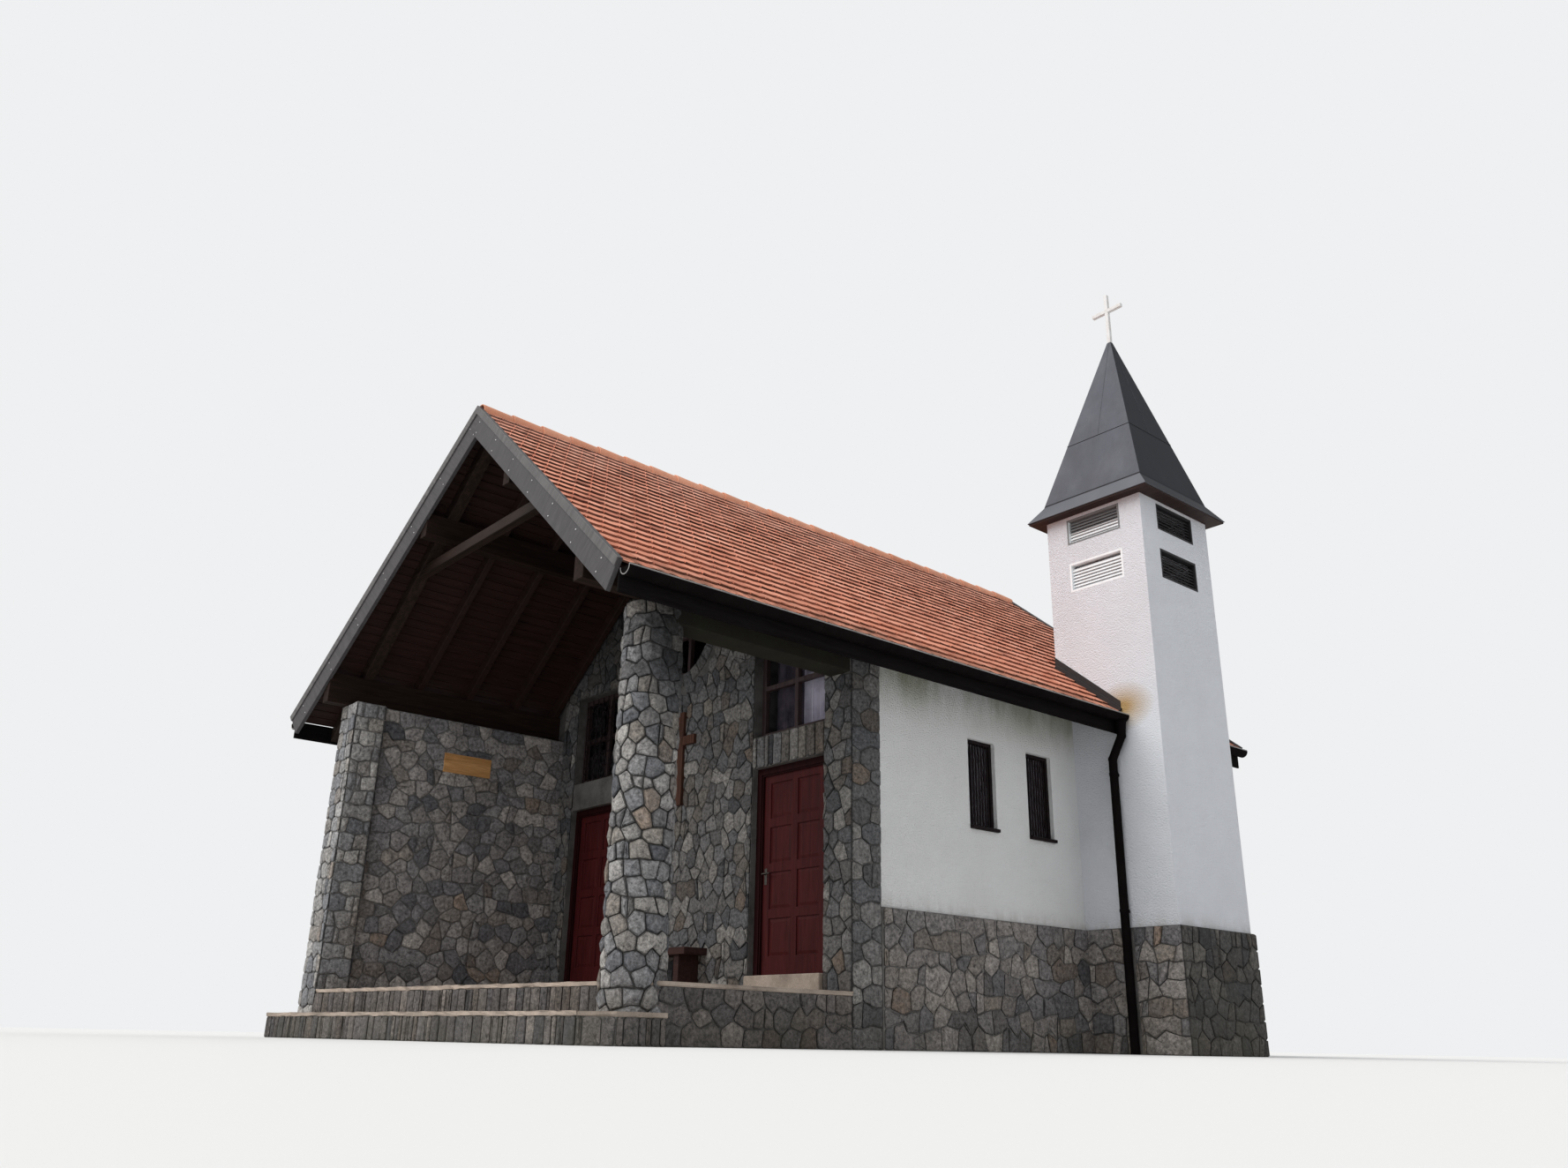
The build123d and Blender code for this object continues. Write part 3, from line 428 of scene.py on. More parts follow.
# Mottling: soft patches of a second colour at two scales, with a fine speckle over them.
grey, dark_grey = (0.5, 0.5, 0.5, 1), (0.3, 0.3, 0.3, 1)
mottle, ins, outs = new_group(
    "mottle",
    {"Color": grey, "Patch": dark_grey, "Scale": 3.0, "Amount": 0.5, "Speckle": 0.2},
    {"Color": "Color", "Height": "Float"},
)
where = here(mottle)
wide = noise(mottle, where, ins["Scale"], 5.0, 0.62)
fine = noise(mottle, where, 160.0, 3.0, 0.7)
share = calc(mottle, "MULTIPLY", remap(mottle, wide, 0.42, 0.66), ins["Amount"])
grains = remap(mottle, fine, 0.32, 0.68)
patched = blend(mottle, "MIX", share, ins["Color"], ins["Patch"])
height = calc(mottle, "MULTIPLY_ADD", fine, 0.35, wide)
feed(mottle, outs, {"Color": blend(mottle, "OVERLAY", ins["Speckle"], patched, grains), "Height": height})

# Ageing: growth and grime that fade in below one height and above another, broken up by noise.
ageing, ins, outs = new_group(
    "ageing",
    {"Color": grey, "Growth": (0.1, 0.12, 0.07, 1), "From": 0.0, "To": 1.0, "Amount": 0.5, "Scale": 2.0},
    {"Color": "Color"},
)
level = height_above_floor(ageing)
near = remap(ageing, level, ins["From"], ins["To"], 1.0, 0.0, interpolation_type="SMOOTHSTEP")
stretched = calc_vector(ageing, "MULTIPLY", here(ageing), (1.0, 1.0, 0.35))
spots = remap(ageing, noise(ageing, stretched, ins["Scale"], 8.0, 0.68), 0.36, 0.62)
mask = calc(ageing, "MULTIPLY", calc(ageing, "MULTIPLY", near, spots), ins["Amount"])
feed(ageing, outs, {"Color": blend(ageing, "MIX", mask, ins["Color"], ins["Growth"])})


def mottling(tree, colour, patch, scale, amount, speckle):
    """Mottled colour and its height."""
    values = {"Color": colour, "Patch": patch, "Scale": scale, "Amount": amount, "Speckle": speckle}
    return use_group(tree, mottle, values)


def aged(tree, colour, growth, full, none, amount, scale):
    """Colour with growth on it: all of it at one height, none at another."""
    values = {"Color": colour, "Growth": growth, "From": full, "To": none, "Amount": amount, "Scale": scale}
    return use_group(tree, ageing, values)["Color"]


def cover(tree, shader, colour, height, strength, distance):
    """Gives the shader its colour, and a height through a bump node as its normal."""
    bump = first_of(tree, "Bump", {"Strength": strength, "Distance": distance, "Height": height})
    feed(tree, shader, {"Base Color": colour, "Normal": bump})


def mottled(name, look, mottles, bump):
    """Finish of one mottling: shader values, colours of the mottling, strength and depth of its bump."""
    finish, tree, shader = new_finish(name, *look)
    patches = mottling(tree, *mottles)
    cover(tree, shader, patches["Color"], patches["Height"], *bump)
    return finish


def ramp(tree, fac, stops):
    """Colour picked by a value from a row of stops."""
    node = put(tree, "ValToRGB", {"Fac": fac})
    band = node.color_ramp
    while len(band.elements) < len(stops):
        band.elements.new(0.5)
    for element, (place, colour) in zip(band.elements, stops):
        element.position = place
        element.color = (*colour, 1)
    return node.outputs[0]


# Painted shade: how deep the darkening under the porch boarding reaches, and how strongly stone sides are
# darkened.
porch_shade_depth, side_shade_strength = 1.3, 0.75


def shade_painted(tree, colour, shade_from):
    """Colour darkened as painted shade: on the marked stone sides, and under the boarding above a height."""
    fade = remap(tree, height_above_floor(tree), shade_from, shade_from + porch_shade_depth, 1.0, 0.3)
    unshaded = calc(tree, "MULTIPLY_ADD", face_value(tree, "painted_shade"), -side_shade_strength, 1.0)
    return scaled(tree, colour, calc(tree, "MULTIPLY", fade, unshaded))


no_height = 20.0
stone_tones = [
    (0.0, (0.078, 0.081, 0.090)),
    (0.14, (0.150, 0.152, 0.160)),
    (0.28, (0.205, 0.203, 0.205)),
    (0.40, (0.115, 0.113, 0.115)),
    (0.53, (0.270, 0.262, 0.255)),
    (0.65, (0.165, 0.160, 0.155)),
    (0.76, (0.330, 0.318, 0.302)),
    (0.85, (0.145, 0.136, 0.128)),
    (0.92, (0.235, 0.217, 0.196)),
    (0.97, (0.130, 0.116, 0.106)),
    (1.0, (0.225, 0.184, 0.152)),
]


def stone(name, gain, contrast=1.0, warmth=(1.0, 1.0, 1.0), shade_from=no_height, damp_top=0.55):
    """Finish of field stones: a tone for each stone, broken up within it, damp at the foot, painted shade on
    its sides and above a height.
    """
    finish, tree, shader = new_finish(name, 0.86, 0.25)
    tones = ramp(tree, face_value(tree, "stone_tone"), stone_tones)
    spread = first_of(tree, "Gamma", {"Color": tones, "Gamma": contrast})
    tinted = calc_vector(tree, "MULTIPLY", spread, warmth)
    patches = mottling(tree, tinted, (0.10, 0.097, 0.095), 9.0, 0.45, 0.3)["Color"]
    chips = noise(tree, here(tree), 26.0, 6.0, 0.78, 0.3)
    broken = scaled(tree, patches, remap(tree, chips, 0.34, 0.66, 0.30 * gain, 1.75 * gain))
    damp = aged(tree, shade_painted(tree, broken, shade_from), (0.075, 0.072, 0.055), 0.0, damp_top, 0.55, 2.5)
    cover(tree, shader, damp, chips, 1.0, 0.03)
    return finish


def mortar(name, pale, dark, shade_from=no_height):
    """Finish of lime mortar joints, washed out dark in places, with painted shade above a height."""
    finish, tree, shader = new_finish(name, 0.92, 0.2)
    patches = mottling(tree, pale, dark, 2.6, 0.9, 0.4)
    damp = aged(tree, shade_painted(tree, patches["Color"], shade_from), (0.10, 0.095, 0.075), 0.0, 0.6, 0.6, 2.5)
    cover(tree, shader, damp, patches["Height"], 0.7, 0.008)
    return finish


# Painted shade: above this height the front wall's stones and mortar darken, under the porch boarding.
porch_shade_from = 3.9
plinth_stone = stone("plinth_stone", 1.62, 1.2, (1.03, 0.97, 0.93))
facade_stone = stone("facade_stone", 1.15, 1.2, shade_from=porch_shade_from)
porch_stone = stone("porch_stone", 1.80, 1.1, (1.0, 0.97, 0.97))
pier_stone = stone("pier_stone", 1.50, 0.9)
pillar_stone = stone("pillar_stone", 1.92, 1.2)
# Painted shade and damp: darker stone for the tower plinth's right side, with damp reaching higher.
shaded_stone = stone("shaded_stone", 0.46, warmth=(1.0, 0.96, 0.90), damp_top=1.2)
riser_stone = stone("riser_stone", 0.74, warmth=(1.05, 0.96, 0.91))
pale_mortar = mortar("pale_mortar", (0.24, 0.232, 0.22), (0.075, 0.072, 0.068))
dark_mortar = mortar("dark_mortar", (0.125, 0.121, 0.116), (0.055, 0.053, 0.050), porch_shade_from)


def dress(names, finish):
    """Gives the CAD nodes a finish of their own."""
    for name in names:
        for material_slot in cad[name].material_slots:
            material_slot.material = finish


dress(["front_wall", "front_gable_left", "front_gable_centre", "front_gable_right"], dark_mortar)
dress(["porch_wall", "porch_pier", "nave_plinth"], pale_mortar)
dress(["porch_base", "tower_plinth"], dark_mortar)

# Plinths: three sides of the nave and three of the tower, with a chase left behind each downpipe.
plinth_low, plinth_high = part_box("nave_plinth")
tower_low, tower_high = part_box("tower_plinth")
front_y, inner_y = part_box("front_wall")[0].y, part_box("front_wall")[1].y
x_from = plinth_high.x + stone_proud
y_from = plinth_high.y + stone_proud
big = dict(cell=(0.115, 0.180), wander=0.054, corner=0.014, small=0.16, long=0.16, zigzag=0.10, bulge=0.010)


chase_half, left_pipe_y, right_pipe_x = 0.06, 5.495, 3.655


def chase(middle):
    """Upright gap in a facing, from the floor to above its top."""
    return (middle - chase_half, middle + chase_half, -1, 9)


left_pipe, right_pipe = chase(y_from - left_pipe_y), chase(right_pipe_x - x_from)
nave_right, nave_left, tower_right = plinth_high.x, plinth_low.x, tower_high.x + stone_proud
plinth_panels = [
    lay_stones((nave_right, inner_y), (nave_right, tower_low.y), 0, plinth_top, seed=11, **big),
    lay_stones((nave_right, tower_high.y), (nave_right, y_from), 0, plinth_top, seed=12, **big),
    lay_stones((nave_right, plinth_high.y), (nave_left, plinth_high.y), 0, plinth_top, seed=13, **big),
    lay_stones((nave_left, y_from), (nave_left, front_y), 0, plinth_top, seed=14, holes=[left_pipe], **big),
]
joined("nave_plinth_stones", plinth_panels, plinth_stone)
near_end, far_end = (x_from, tower_low.y), (x_from, tower_high.y)
tower_panels = [
    lay_stones(near_end, (tower_right, tower_low.y), 0, plinth_top, seed=15, holes=[right_pipe], **big),
    lay_stones((tower_right, tower_high.y), far_end, 0, plinth_top, seed=17, **big),
]
joined("tower_plinth_stones", tower_panels, plinth_stone)
# The tower plinth's right side wears its own darker stone finish: painted shade, with damp reaching higher.
near_end, far_end = (tower_high.x, tower_low.y), (tower_high.x, tower_high.y)
shaded = lay_stones(near_end, far_end, 0, plinth_top, seed=16, **big)
joined("tower_plinth_shaded_stones", [shaded], shaded_stone)

# Front wall: one facing from the porch floor to the boarding, round doors, windows and round window.
porch_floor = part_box("porch_slab")[1].z
wall_left_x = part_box("porch_wall")[1].x
wall_right_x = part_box("front_wall")[1].x
eaves_top, gable_top, slopes_meet = 3.9, 6.85, 6.8037
slope = math.radians(39.3)
slope_tan = math.tan(slope)
door_spans = ((-2.35, -1.17), (1.47, 2.65))
door_head, lintel_top, window_head = 2.90, 3.25, 4.42
ridge_foot = (-wall_left_x, slopes_meet - porch_floor)
oculus_x, oculus_z, oculus_r = 0.0, 4.85, 0.55
facade_panels = [
    lay_stones(
        (wall_left_x, front_y), (wall_right_x + stone_proud, front_y), porch_floor, gable_top,
        (0.086, 0.175), 0.042, seed=21, slopes=[(ridge_foot, (slope_tan, 1)), (ridge_foot, (-slope_tan, 1))],
        holes=[(x0 - wall_left_x, x1 - wall_left_x, -1, window_head - porch_floor) for x0, x1 in door_spans],
    ),
    lay_stones((wall_right_x, front_y), (wall_right_x, inner_y), 0, eaves_top, (0.13, 0.20), 0.03, seed=22),
]
# The right door's lintel is faced with narrow upright stones, the left one is bare concrete.
lintel_left, lintel_right = door_spans[1]
facade_panels.append(
    lay_stones(
        (lintel_left, front_y), (lintel_right, front_y), door_head, lintel_top, (0.070, 0.35), 0.016, seed=29,
        zigzag=0, small=0.3, long=0.0,
    )
)
facade = joined("front_wall_stones", facade_panels, facade_stone)
edit_mode()


def in_round_window(vert):
    reach = math.hypot(vert.co.x - oculus_x, vert.co.z - oculus_z)
    return abs(vert.co.y - front_y) < 0.04 and reach < oculus_r + 0.10


choose(facade, in_round_window, "VERT")
bpy.ops.mesh.select_linked()
bpy.ops.mesh.delete(type="FACE")
object_mode()


def repeated(source, places):
    """Copies a modelled piece, each with its own mesh, to the given places, and removes the original."""
    copies = []
    for place in places:
        one = source.copy()
        one.data = source.data.copy()
        scene.collection.objects.link(one)
        one.matrix_world = place
        copies.append(one)
    bpy.data.objects.remove(source)
    clear_selection()
    for one in copies:
        one.select_set(True)
    bpy.context.view_layer.objects.active = copies[0]
    settle()
    return copies


def new_box(centre, size, **settings):
    """Cuboid to start a piece from."""
    clear_selection()
    bpy.ops.mesh.primitive_cube_add(size=1, location=centre, **settings)
    box = bpy.context.object
    box.scale = size
    settle()
    return box


# Ring of wedge stones round the circular window: one is shaped and turned round the centre.
ring_count = 26
ring_mid = oculus_z + oculus_r + 0.085
wedge = new_box((0, front_y - 0.004, ring_mid), (0.128, 0.030, 0.15))
edit_mode()
choose(wedge, lambda v: v.co.z > ring_mid, "VERT")
bpy.ops.transform.resize(value=(1.22, 1, 1), center_override=(0, front_y, oculus_z))
choose(wedge, lambda f: True)
bpy.ops.mesh.bevel(offset=0.010, segments=1, affect="EDGES")
choose(wedge, lambda f: f.normal.y < -0.9)
bpy.ops.mesh.poke(offset=0.006, use_relative_offset=False)
object_mode()
rng = random.Random(24)
centre = Matrix.Translation((oculus_x, 0, oculus_z))
step = 2 * math.pi / ring_count
turns = [centre @ Matrix.Rotation(step * k, 4, "Y") @ centre.inverted() for k in range(ring_count)]
wedges = repeated(wedge, [turn @ Matrix.Translation((0, -0.006 * rng.random(), 0)) for turn in turns])
ring = joined("round_window_ring_stones", wedges, facade_stone)
tone_faces(ring, "stone_tone", 25, len(ring.data.polygons) // ring_count)

# Porch wall on both sides, and the pier of bigger squared stones at its front end.
low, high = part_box("porch_wall")
porch_panels = [
    lay_stones((high.x, low.y), (high.x, high.y), porch_floor, high.z, (0.112, 0.165), 0.046, seed=31),
    lay_stones((low.x, high.y), (low.x, low.y), 0, high.z, seed=32, **big),
]
joined("porch_wall_stones", porch_panels, porch_stone)
wall_face = high.x
low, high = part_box("porch_pier")
pier_right = high.x + stone_proud
quoin = dict(cell=(0.100, 0.180), wander=0.026, corner=0.016, small=0.15, long=0.2, zigzag=0.05, bulge=0.008)
pier_panels = [
    lay_stones((low.x, low.y), (pier_right, low.y), 0, high.z, seed=33, **quoin),
    lay_stones((high.x, low.y), (high.x, high.y), 0.5, high.z, seed=34, **quoin),
    lay_stones((low.x, high.y), (low.x, low.y), 0, high.z, seed=35, **quoin),
    lay_stones((pier_right, high.y), (wall_face, high.y), porch_floor, high.z, seed=36, **quoin),
]
joined("porch_pier_stones", pier_panels, pier_stone)

# Porch floor and the step in front of it
# Cast concrete on stone. The floor and the tread end in a thin worn lip, and below each lip a course
# of stones is set upright on its edge, bedded in mortar.
lip, lip_proud, lip_worn, lip_cut = 0.035, 0.012, 0.007, 0.09
step_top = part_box("lower_step")[1].z
step_line = [(-3.075, -3.205), (-3.075, -3.535), (3.04, -3.215)]
step_line += [(3.30, -3.015), (3.30, -2.535), (3.05, -2.535)]
floor_line = [(-2.70, -3.205), (2.788, -2.655), (3.05, -2.535), (3.05, front_y)]
upright = dict(wander=0.030, corner=0.018, small=0.30, long=0.0, proud=0.014, zigzag=0.10, lean=0.018)
riser_panels = [
    lay_stones(a, b, 0, step_top - lip, (0.072, 0.22), seed=41 + k, **upright)
    for k, (a, b) in enumerate(zip(step_line, step_line[1:]))
]
for k in range(2):
    a, b = floor_line[k : k + 2]
    riser_panels.append(lay_stones(a, b, step_top, base_top, (0.060, 0.22), seed=51 + k, **upright))
riser_panels.append(lay_stones(floor_line[2], floor_line[3], 0, base_top, (0.11, 0.17), seed=54))
joined("riser_stones", riser_panels, riser_stone)

concrete_finish, tree, shader = new_finish("worn_concrete", 0.85, 0.15)
patches = mottling(tree, (0.400, 0.330, 0.275), (0.200, 0.165, 0.138), 3.0, 0.8, 0.3)
damp = aged(tree, patches["Color"], (0.075, 0.070, 0.054), 0.0, 0.5, 0.35, 3.0)
cover(tree, shader, damp, patches["Height"], 0.6, 0.008)


def modify(piece, kind, **settings):
    """Puts one modifier on the active piece and applies it."""
    change = piece.modifiers.new("change", kind)
    for key, value in settings.items():
        setattr(change, key, value)
    bpy.ops.object.modifier_apply(modifier="change")


def pick(piece):
    """Makes one piece the only one selected, and the active one."""
    clear_selection()
    piece.select_set(True)
    bpy.context.view_layer.objects.active = piece


def worked(node, ease, finish, segments=2, body="chapel", angle=35):
    """Copy of a CAD part with its triangles merged and its edges eased, which stands for it."""
    piece = bpy.data.objects.new(node + "_worked", cad[node].data.copy())
    scene.collection.objects.link(piece)
    pick(piece)
    edit_mode()
    select_all()
    bpy.ops.mesh.remove_doubles(threshold=0.0002)
    bpy.ops.mesh.dissolve_limited(angle_limit=math.radians(1.5))
    bpy.ops.mesh.normals_make_consistent(inside=False)
    object_mode()
    edges = dict(limit_method="ANGLE", angle_limit=math.radians(angle))
    modify(piece, "BEVEL", width=ease, segments=segments, **edges)
    joined(node + "_worked", [piece], finish, body)
    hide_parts(node)
    return piece


def plan_slab(line, z0, z1):
    """Thin slab over a plan outline given from left to right, its front lip proud and worn uneven."""
    left, right = min(p[0] for p in line), max(p[0] for p in line)
    near, far = min(p[1] for p in line), max(p[1] for p in line)
    centre = ((left + right) / 2, (near + far) / 2, (z0 + z1) / 2)
    slab = new_box(centre, (right - left + 0.12, far - near + 0.12, z1 - z0))
    edit_mode()
    for (ax, ay), (bx, by) in zip(line, line[1:]):
        away = Vector((by - ay, ax - bx, 0)).normalized()
        slice_all(Vector((ax, ay, 0)) + away * lip_proud, away, clear_outer=True, use_fill=True)
    face_outwards()
    bpy.ops.mesh.bevel(offset=0.007, segments=2, affect="EDGES")
    for k in range(1, int((right - left) / lip_cut)):
        slice_all((left + lip_cut * k, 0, 0), (1, 0, 0))
    select_all()
    bpy.ops.transform.vertex_random(offset=lip_worn, uniform=1.0, seed=5)
    choose(slab, lambda v: (z0 + z1) / 2 < v.co.z < z1, "VERT")
    bpy.ops.transform.resize(value=(1, 1, 0), center_override=(0, 0, z1))
    object_mode()
    return slab


step_tread = plan_slab(step_line, step_top - lip, step_top + 0.001)
joined("step_tread", [step_tread], concrete_finish)
dress(["lower_step"], dark_mortar)
slab_low, slab_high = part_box("porch_slab")
floor_edge = plan_slab(floor_line, slab_low.z - 0.002, slab_high.z - 0.0005)
joined("porch_floor_edge", [floor_edge], concrete_finish)
dress(["porch_slab", "nave_floor"], concrete_finish)
dress(["door_lintels"], dark_mortar)
worked("door_sills", 0.012, concrete_finish)

# Round pillar and the beam over it
# Built of rounded stones in rough courses on a slight taper, bedded in recessed mortar. It carries a
# concrete beam, stained green-brown by damp and darkened as painted shade under the eaves. The stones
# are laid flat and then wrapped round.
pillar_low, pillar_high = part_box("porch_pillar")
pillar_x = (pillar_low.x + pillar_high.x) / 2
pillar_y = (pillar_low.y + pillar_high.y) / 2
foot_r, head_r = 0.285, 0.262
bed_r = foot_r - 0.021
pillar_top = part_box("porch_beam")[1].z
girth = 2 * math.pi * bed_r
seam_turn = math.radians(-124)
away_x, away_y, shade_side_z, shade_side_depth = 0.648, 0.762, 2.4, 0.9
pillar = lay_stones(
    (0, 0), (girth, 0), 0, pillar_top, (girth / 20, 0.150), 0.034, seed=62, joint=0.010, proud=0.022,
    corner=0.015, zigzag=0.10, bulge=0.013,
)
pick(pillar)
xs = [v.co.x for v in pillar.data.vertices]
round_angle = (max(xs) - min(xs)) / bed_r
modify(pillar, "SIMPLE_DEFORM", deform_method="BEND", deform_axis="Z", angle=round_angle)
pillar.location = (0, -bed_r, 0)
settle()
pillar.rotation_euler = (0, 0, seam_turn)
settle()
taper_rate = (head_r / foot_r - 1) / pillar_high.z
modify(pillar, "SIMPLE_DEFORM", deform_method="TAPER", deform_axis="Z", factor=taper_rate)
pillar.location = (pillar_x, pillar_y, 0)
settle()
# Painted shade: the side under the eaves, away from the opening, is darkened towards the top.
for face, mark in zip(pillar.data.polygons, pillar.data.attributes["painted_shade"].data):
    aside = ((face.center.x - pillar_x) * away_x + (face.center.y - pillar_y) * away_y) / foot_r
    shade = clamp(aside + 0.6) * clamp((face.center.z - shade_side_z) / shade_side_depth)
    mark.value = max(mark.value, shade)
joined("porch_pillar_stones", [pillar], pillar_stone)

clear_selection()
bpy.ops.mesh.primitive_cylinder_add(
    vertices=48, radius=bed_r - 0.001, depth=pillar_top, location=(pillar_x, pillar_y, pillar_top / 2)
)
core = bpy.context.object
settle()
edit_mode()
choose(core, lambda v: v.co.z > pillar_top / 2, "VERT")
narrow = head_r / foot_r
bpy.ops.transform.resize(value=(narrow, narrow, 1), center_override=(pillar_x, pillar_y, 0))
choose(core, lambda f: abs(f.normal.z) > 0.9)
bpy.ops.mesh.inset(thickness=0.03, depth=-0.002, use_individual=True)
object_mode()
joined("porch_pillar_core", [core], dark_mortar)
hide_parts("porch_pillar")

# Painted shade: the beam's colours are nearly black for the shade under the eaves, with real green damp.
shaded_damp_concrete = ((0.022, 0.0195, 0.0160), (0.027, 0.030, 0.018), 4.0, 0.6, 0.4)
beam_finish = mottled("stained_beam_painted_shade", (0.9, 0.1), shaded_damp_concrete, (0.8, 0.01))
worked("porch_beam", 0.012, beam_finish)
edit_mode()
slice_all((0, pillar_y, 0), (0, -1, 0), clear_outer=True, use_fill=True)
object_mode()

# Plastered walls of the nave and the tower
# Rough-cast lime render, thrown on by hand and painted white, greyed by the weather. It is stained
# green under the eaves, grey above the plinth and orange where water runs off the tower's flashing.
roughcast, ins, outs = new_group("roughcast", {"Size": 75.0}, {"Height": "Float"})
where = here(roughcast)
lumps = first_of(roughcast, "TexVoronoi", {"Vector": where, "Scale": ins["Size"], "Randomness": 1.0})
grit = noise(roughcast, where, 45.0, 6.0, 0.7)
feed(roughcast, outs, {"Height": calc(roughcast, "SUBTRACT", grit, lumps)})


def plaster(name, light, dull, stain, full, none, amount, scale):
    """Start of a plaster finish: white, greyed above the plinth, and stained towards one height."""
    finish, tree, shader = new_finish(name, 0.92, 0.12)
    coat = mottling(tree, light, dull, 1.6, 0.5, 0.06)["Color"]
    damp = aged(tree, coat, (0.42, 0.41, 0.37), 1.30, 1.55, 0.5, 7.0)
    colour = aged(tree, damp, stain, full, none, amount, scale)
    cover(tree, shader, colour, use_group(tree, roughcast, {})["Height"], 1.0, 0.011)
    return finish, tree, shader, colour


algae, splashed = (0.22, 0.235, 0.12), (0.56, 0.42, 0.38)
plaster_finish = plaster(
    "roughcast_plaster", (0.80, 0.80, 0.80), (0.73, 0.73, 0.72), algae, 4.0, 3.25, 0.95, 1.4
)[0]
dress(["wall_left", "wall_right"], plaster_finish)
tower_finish, tree, shader, colour = plaster(
    "tower_plaster", (0.700, 0.715, 0.760), (0.640, 0.652, 0.690), splashed, 6.60, 6.48, 0.6, 3.0
)
# Rust below the end of the flashing, in a patch that is fuller at its middle.
rust_middle, rust_squeeze = (3.80, 3.57, 3.89), (2.3, 4.0, 3.2)
offset = calc_vector(tree, "SUBTRACT", here(tree), rust_middle)
squeezed = calc_vector(tree, "MULTIPLY", offset, rust_squeeze)
reach = put(tree, "VectorMath", {0: squeezed}, operation="LENGTH").outputs["Value"]
rusty = remap(tree, reach, 0.15, 1.0, 0.95, 0.0)
feed(tree, shader, {"Base Color": blend(tree, "MIX", rusty, colour, (0.42, 0.27, 0.10))})
dress(["tower_shaft", "tower_belfry", "rear_wall"], tower_finish)

# Roof timbers: purlins, wall plates, rafters, the porch truss and the eaves blocking
# Sawn softwood, stained dark red-brown and nearly black in the porch's shade. The collar tie at the
# front is paler. Edges are planed.
grain, ins, outs = new_group(
    "wood_grain",
    {"Dark": (0.05, 0.03, 0.02, 1), "Light": (0.1, 0.06, 0.04, 1), "Stretch": (1, 1, 1), "Pitch": 0.0},
    {"Color": "Color", "Height": "Float"},
)
mirrored = calc_vector(grain, "ABSOLUTE", here(grain))
tilted = first_of(grain, "VectorRotate", {"Vector": mirrored, "Angle": ins["Pitch"]}, rotation_type="Y_AXIS")
stretched = calc_vector(grain, "MULTIPLY", tilted, ins["Stretch"])
bands = noise(grain, stretched, 1.0, 5.0, 0.6, 0.35)
fibres = noise(grain, stretched, 4.5, 3.0, 0.7)
banded = blend(grain, "MIX", remap(grain, bands, 0.33, 0.68), ins["Dark"], ins["Light"])
height = calc(grain, "MULTIPLY_ADD", fibres, 0.6, bands)
feed(grain, outs, {"Color": blend(grain, "OVERLAY", 0.45, banded, fibres), "Height": height})


def wood(name, dark, light, stretch, pitch=0.0, roughness=0.6, specular=0.15):
    """Wood finish: colours, how the grain is stretched along each axis, and the slope it follows."""
    finish, tree, shader = new_finish(name, roughness, specular)
    fibre = use_group(tree, grain, {"Dark": dark, "Light": light, "Stretch": stretch, "Pitch": pitch})
    cover(tree, shader, fibre["Color"], fibre["Height"], 0.55, 0.0025)
    return finish


along_x, along_y, along_z = (1.6, 22, 22), (22, 1.6, 22), (22, 22, 1.6)
purlin_colours = (0.012, 0.008, 0.006), (0.026, 0.015, 0.012)
purlin_finish = wood("dark_timber_long", *purlin_colours, along_y, 0.0, 0.7, 0.06)
rafter_finish = wood("dark_timber_sloped", (0.014, 0.007, 0.006), (0.028, 0.014, 0.011), along_x, slope)
truss_finish = wood("light_timber", (0.013, 0.008, 0.006), (0.030, 0.019, 0.015), along_x, 0.0, 0.6, 0.08)
worked("purlins", 0.006, purlin_finish)
worked("wall_plates", 0.006, purlin_finish)
worked("rafters", 0.005, rafter_finish, 1)
worked("eave_blocking", 0.003, purlin_finish, 1)
worked("porch_truss", 0.006, truss_finish)

# Roof boarding
# Tongued boards nailed along the roof over the rafters, stained dark red-brown. Their undersides are
# the ceiling of the porch, with a small groove at each joint.
board_w, board_t, board_top, board_len = 0.118, 0.030, 0.060, 10.6
eave_x, ridge_z = 3.745, 6.92
slope_len = eave_x / math.cos(slope)
verge_front, verge_rake, verge_rear = -3.285, 0.31 / 3.77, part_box("barge_boards")[1].y
tower_wall_low, tower_wall_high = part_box("tower_shaft")
board_finish = wood("roof_boarding", (0.014, 0.006, 0.005), (0.028, 0.012, 0.010), along_y)


def on_slope(side, along, below):
    """Place on one roof slope: distance from the ridge, depth under the tile tops."""
    x = along * math.cos(slope) - below * math.sin(slope)
    z = ridge_z - along * math.sin(slope) - below * math.cos(slope)
    return side * x, z


def to_slope(piece, side):
    """Lays a flat piece on one slope: first axis down it, second along the ridge, third outwards."""
    down = Vector((side * math.cos(slope), 0, -math.sin(slope)))
    out = Vector((side * math.sin(slope), 0, math.cos(slope)))
    run = out.cross(down)
    rows = [(down[i], run[i], out[i], (0, 0, ridge_z)[i]) for i in range(3)]
    piece.matrix_world = Matrix(rows + [(0, 0, 0, 1)])
    settle()


def cut_at_verge(setback, side):
    """Cuts a layer of one slope at the raked front verge and at the rear one, and closes the cuts."""
    away = Vector((-side * verge_rake, -1, 0)).normalized()
    edit_mode()
    slice_all((0, verge_front + setback, 0), away, clear_outer=True, use_fill=True)
    slice_all((0, verge_rear - setback, 0), (0, 1, 0), clear_outer=True, use_fill=True)
    object_mode()


def cut_for_tower(piece):
    """Takes out what would lie inside the tower."""
    middle = (tower_wall_low + tower_wall_high) / 2
    size = tower_wall_high - tower_wall_low
    block = new_box((middle.x + 0.5, middle.y, 4.5), (size.x + 1, size.y, 6))
    pick(piece)
    modify(piece, "BOOLEAN", object=block, operation="DIFFERENCE", solver="EXACT")
    bpy.data.objects.remove(block)


def row_of(piece, count, shift):
    """Repeats a piece at a constant step."""
    steps = dict(use_relative_offset=False, use_constant_offset=True, constant_offset_displace=shift)
    modify(piece, "ARRAY", count=count, **steps)


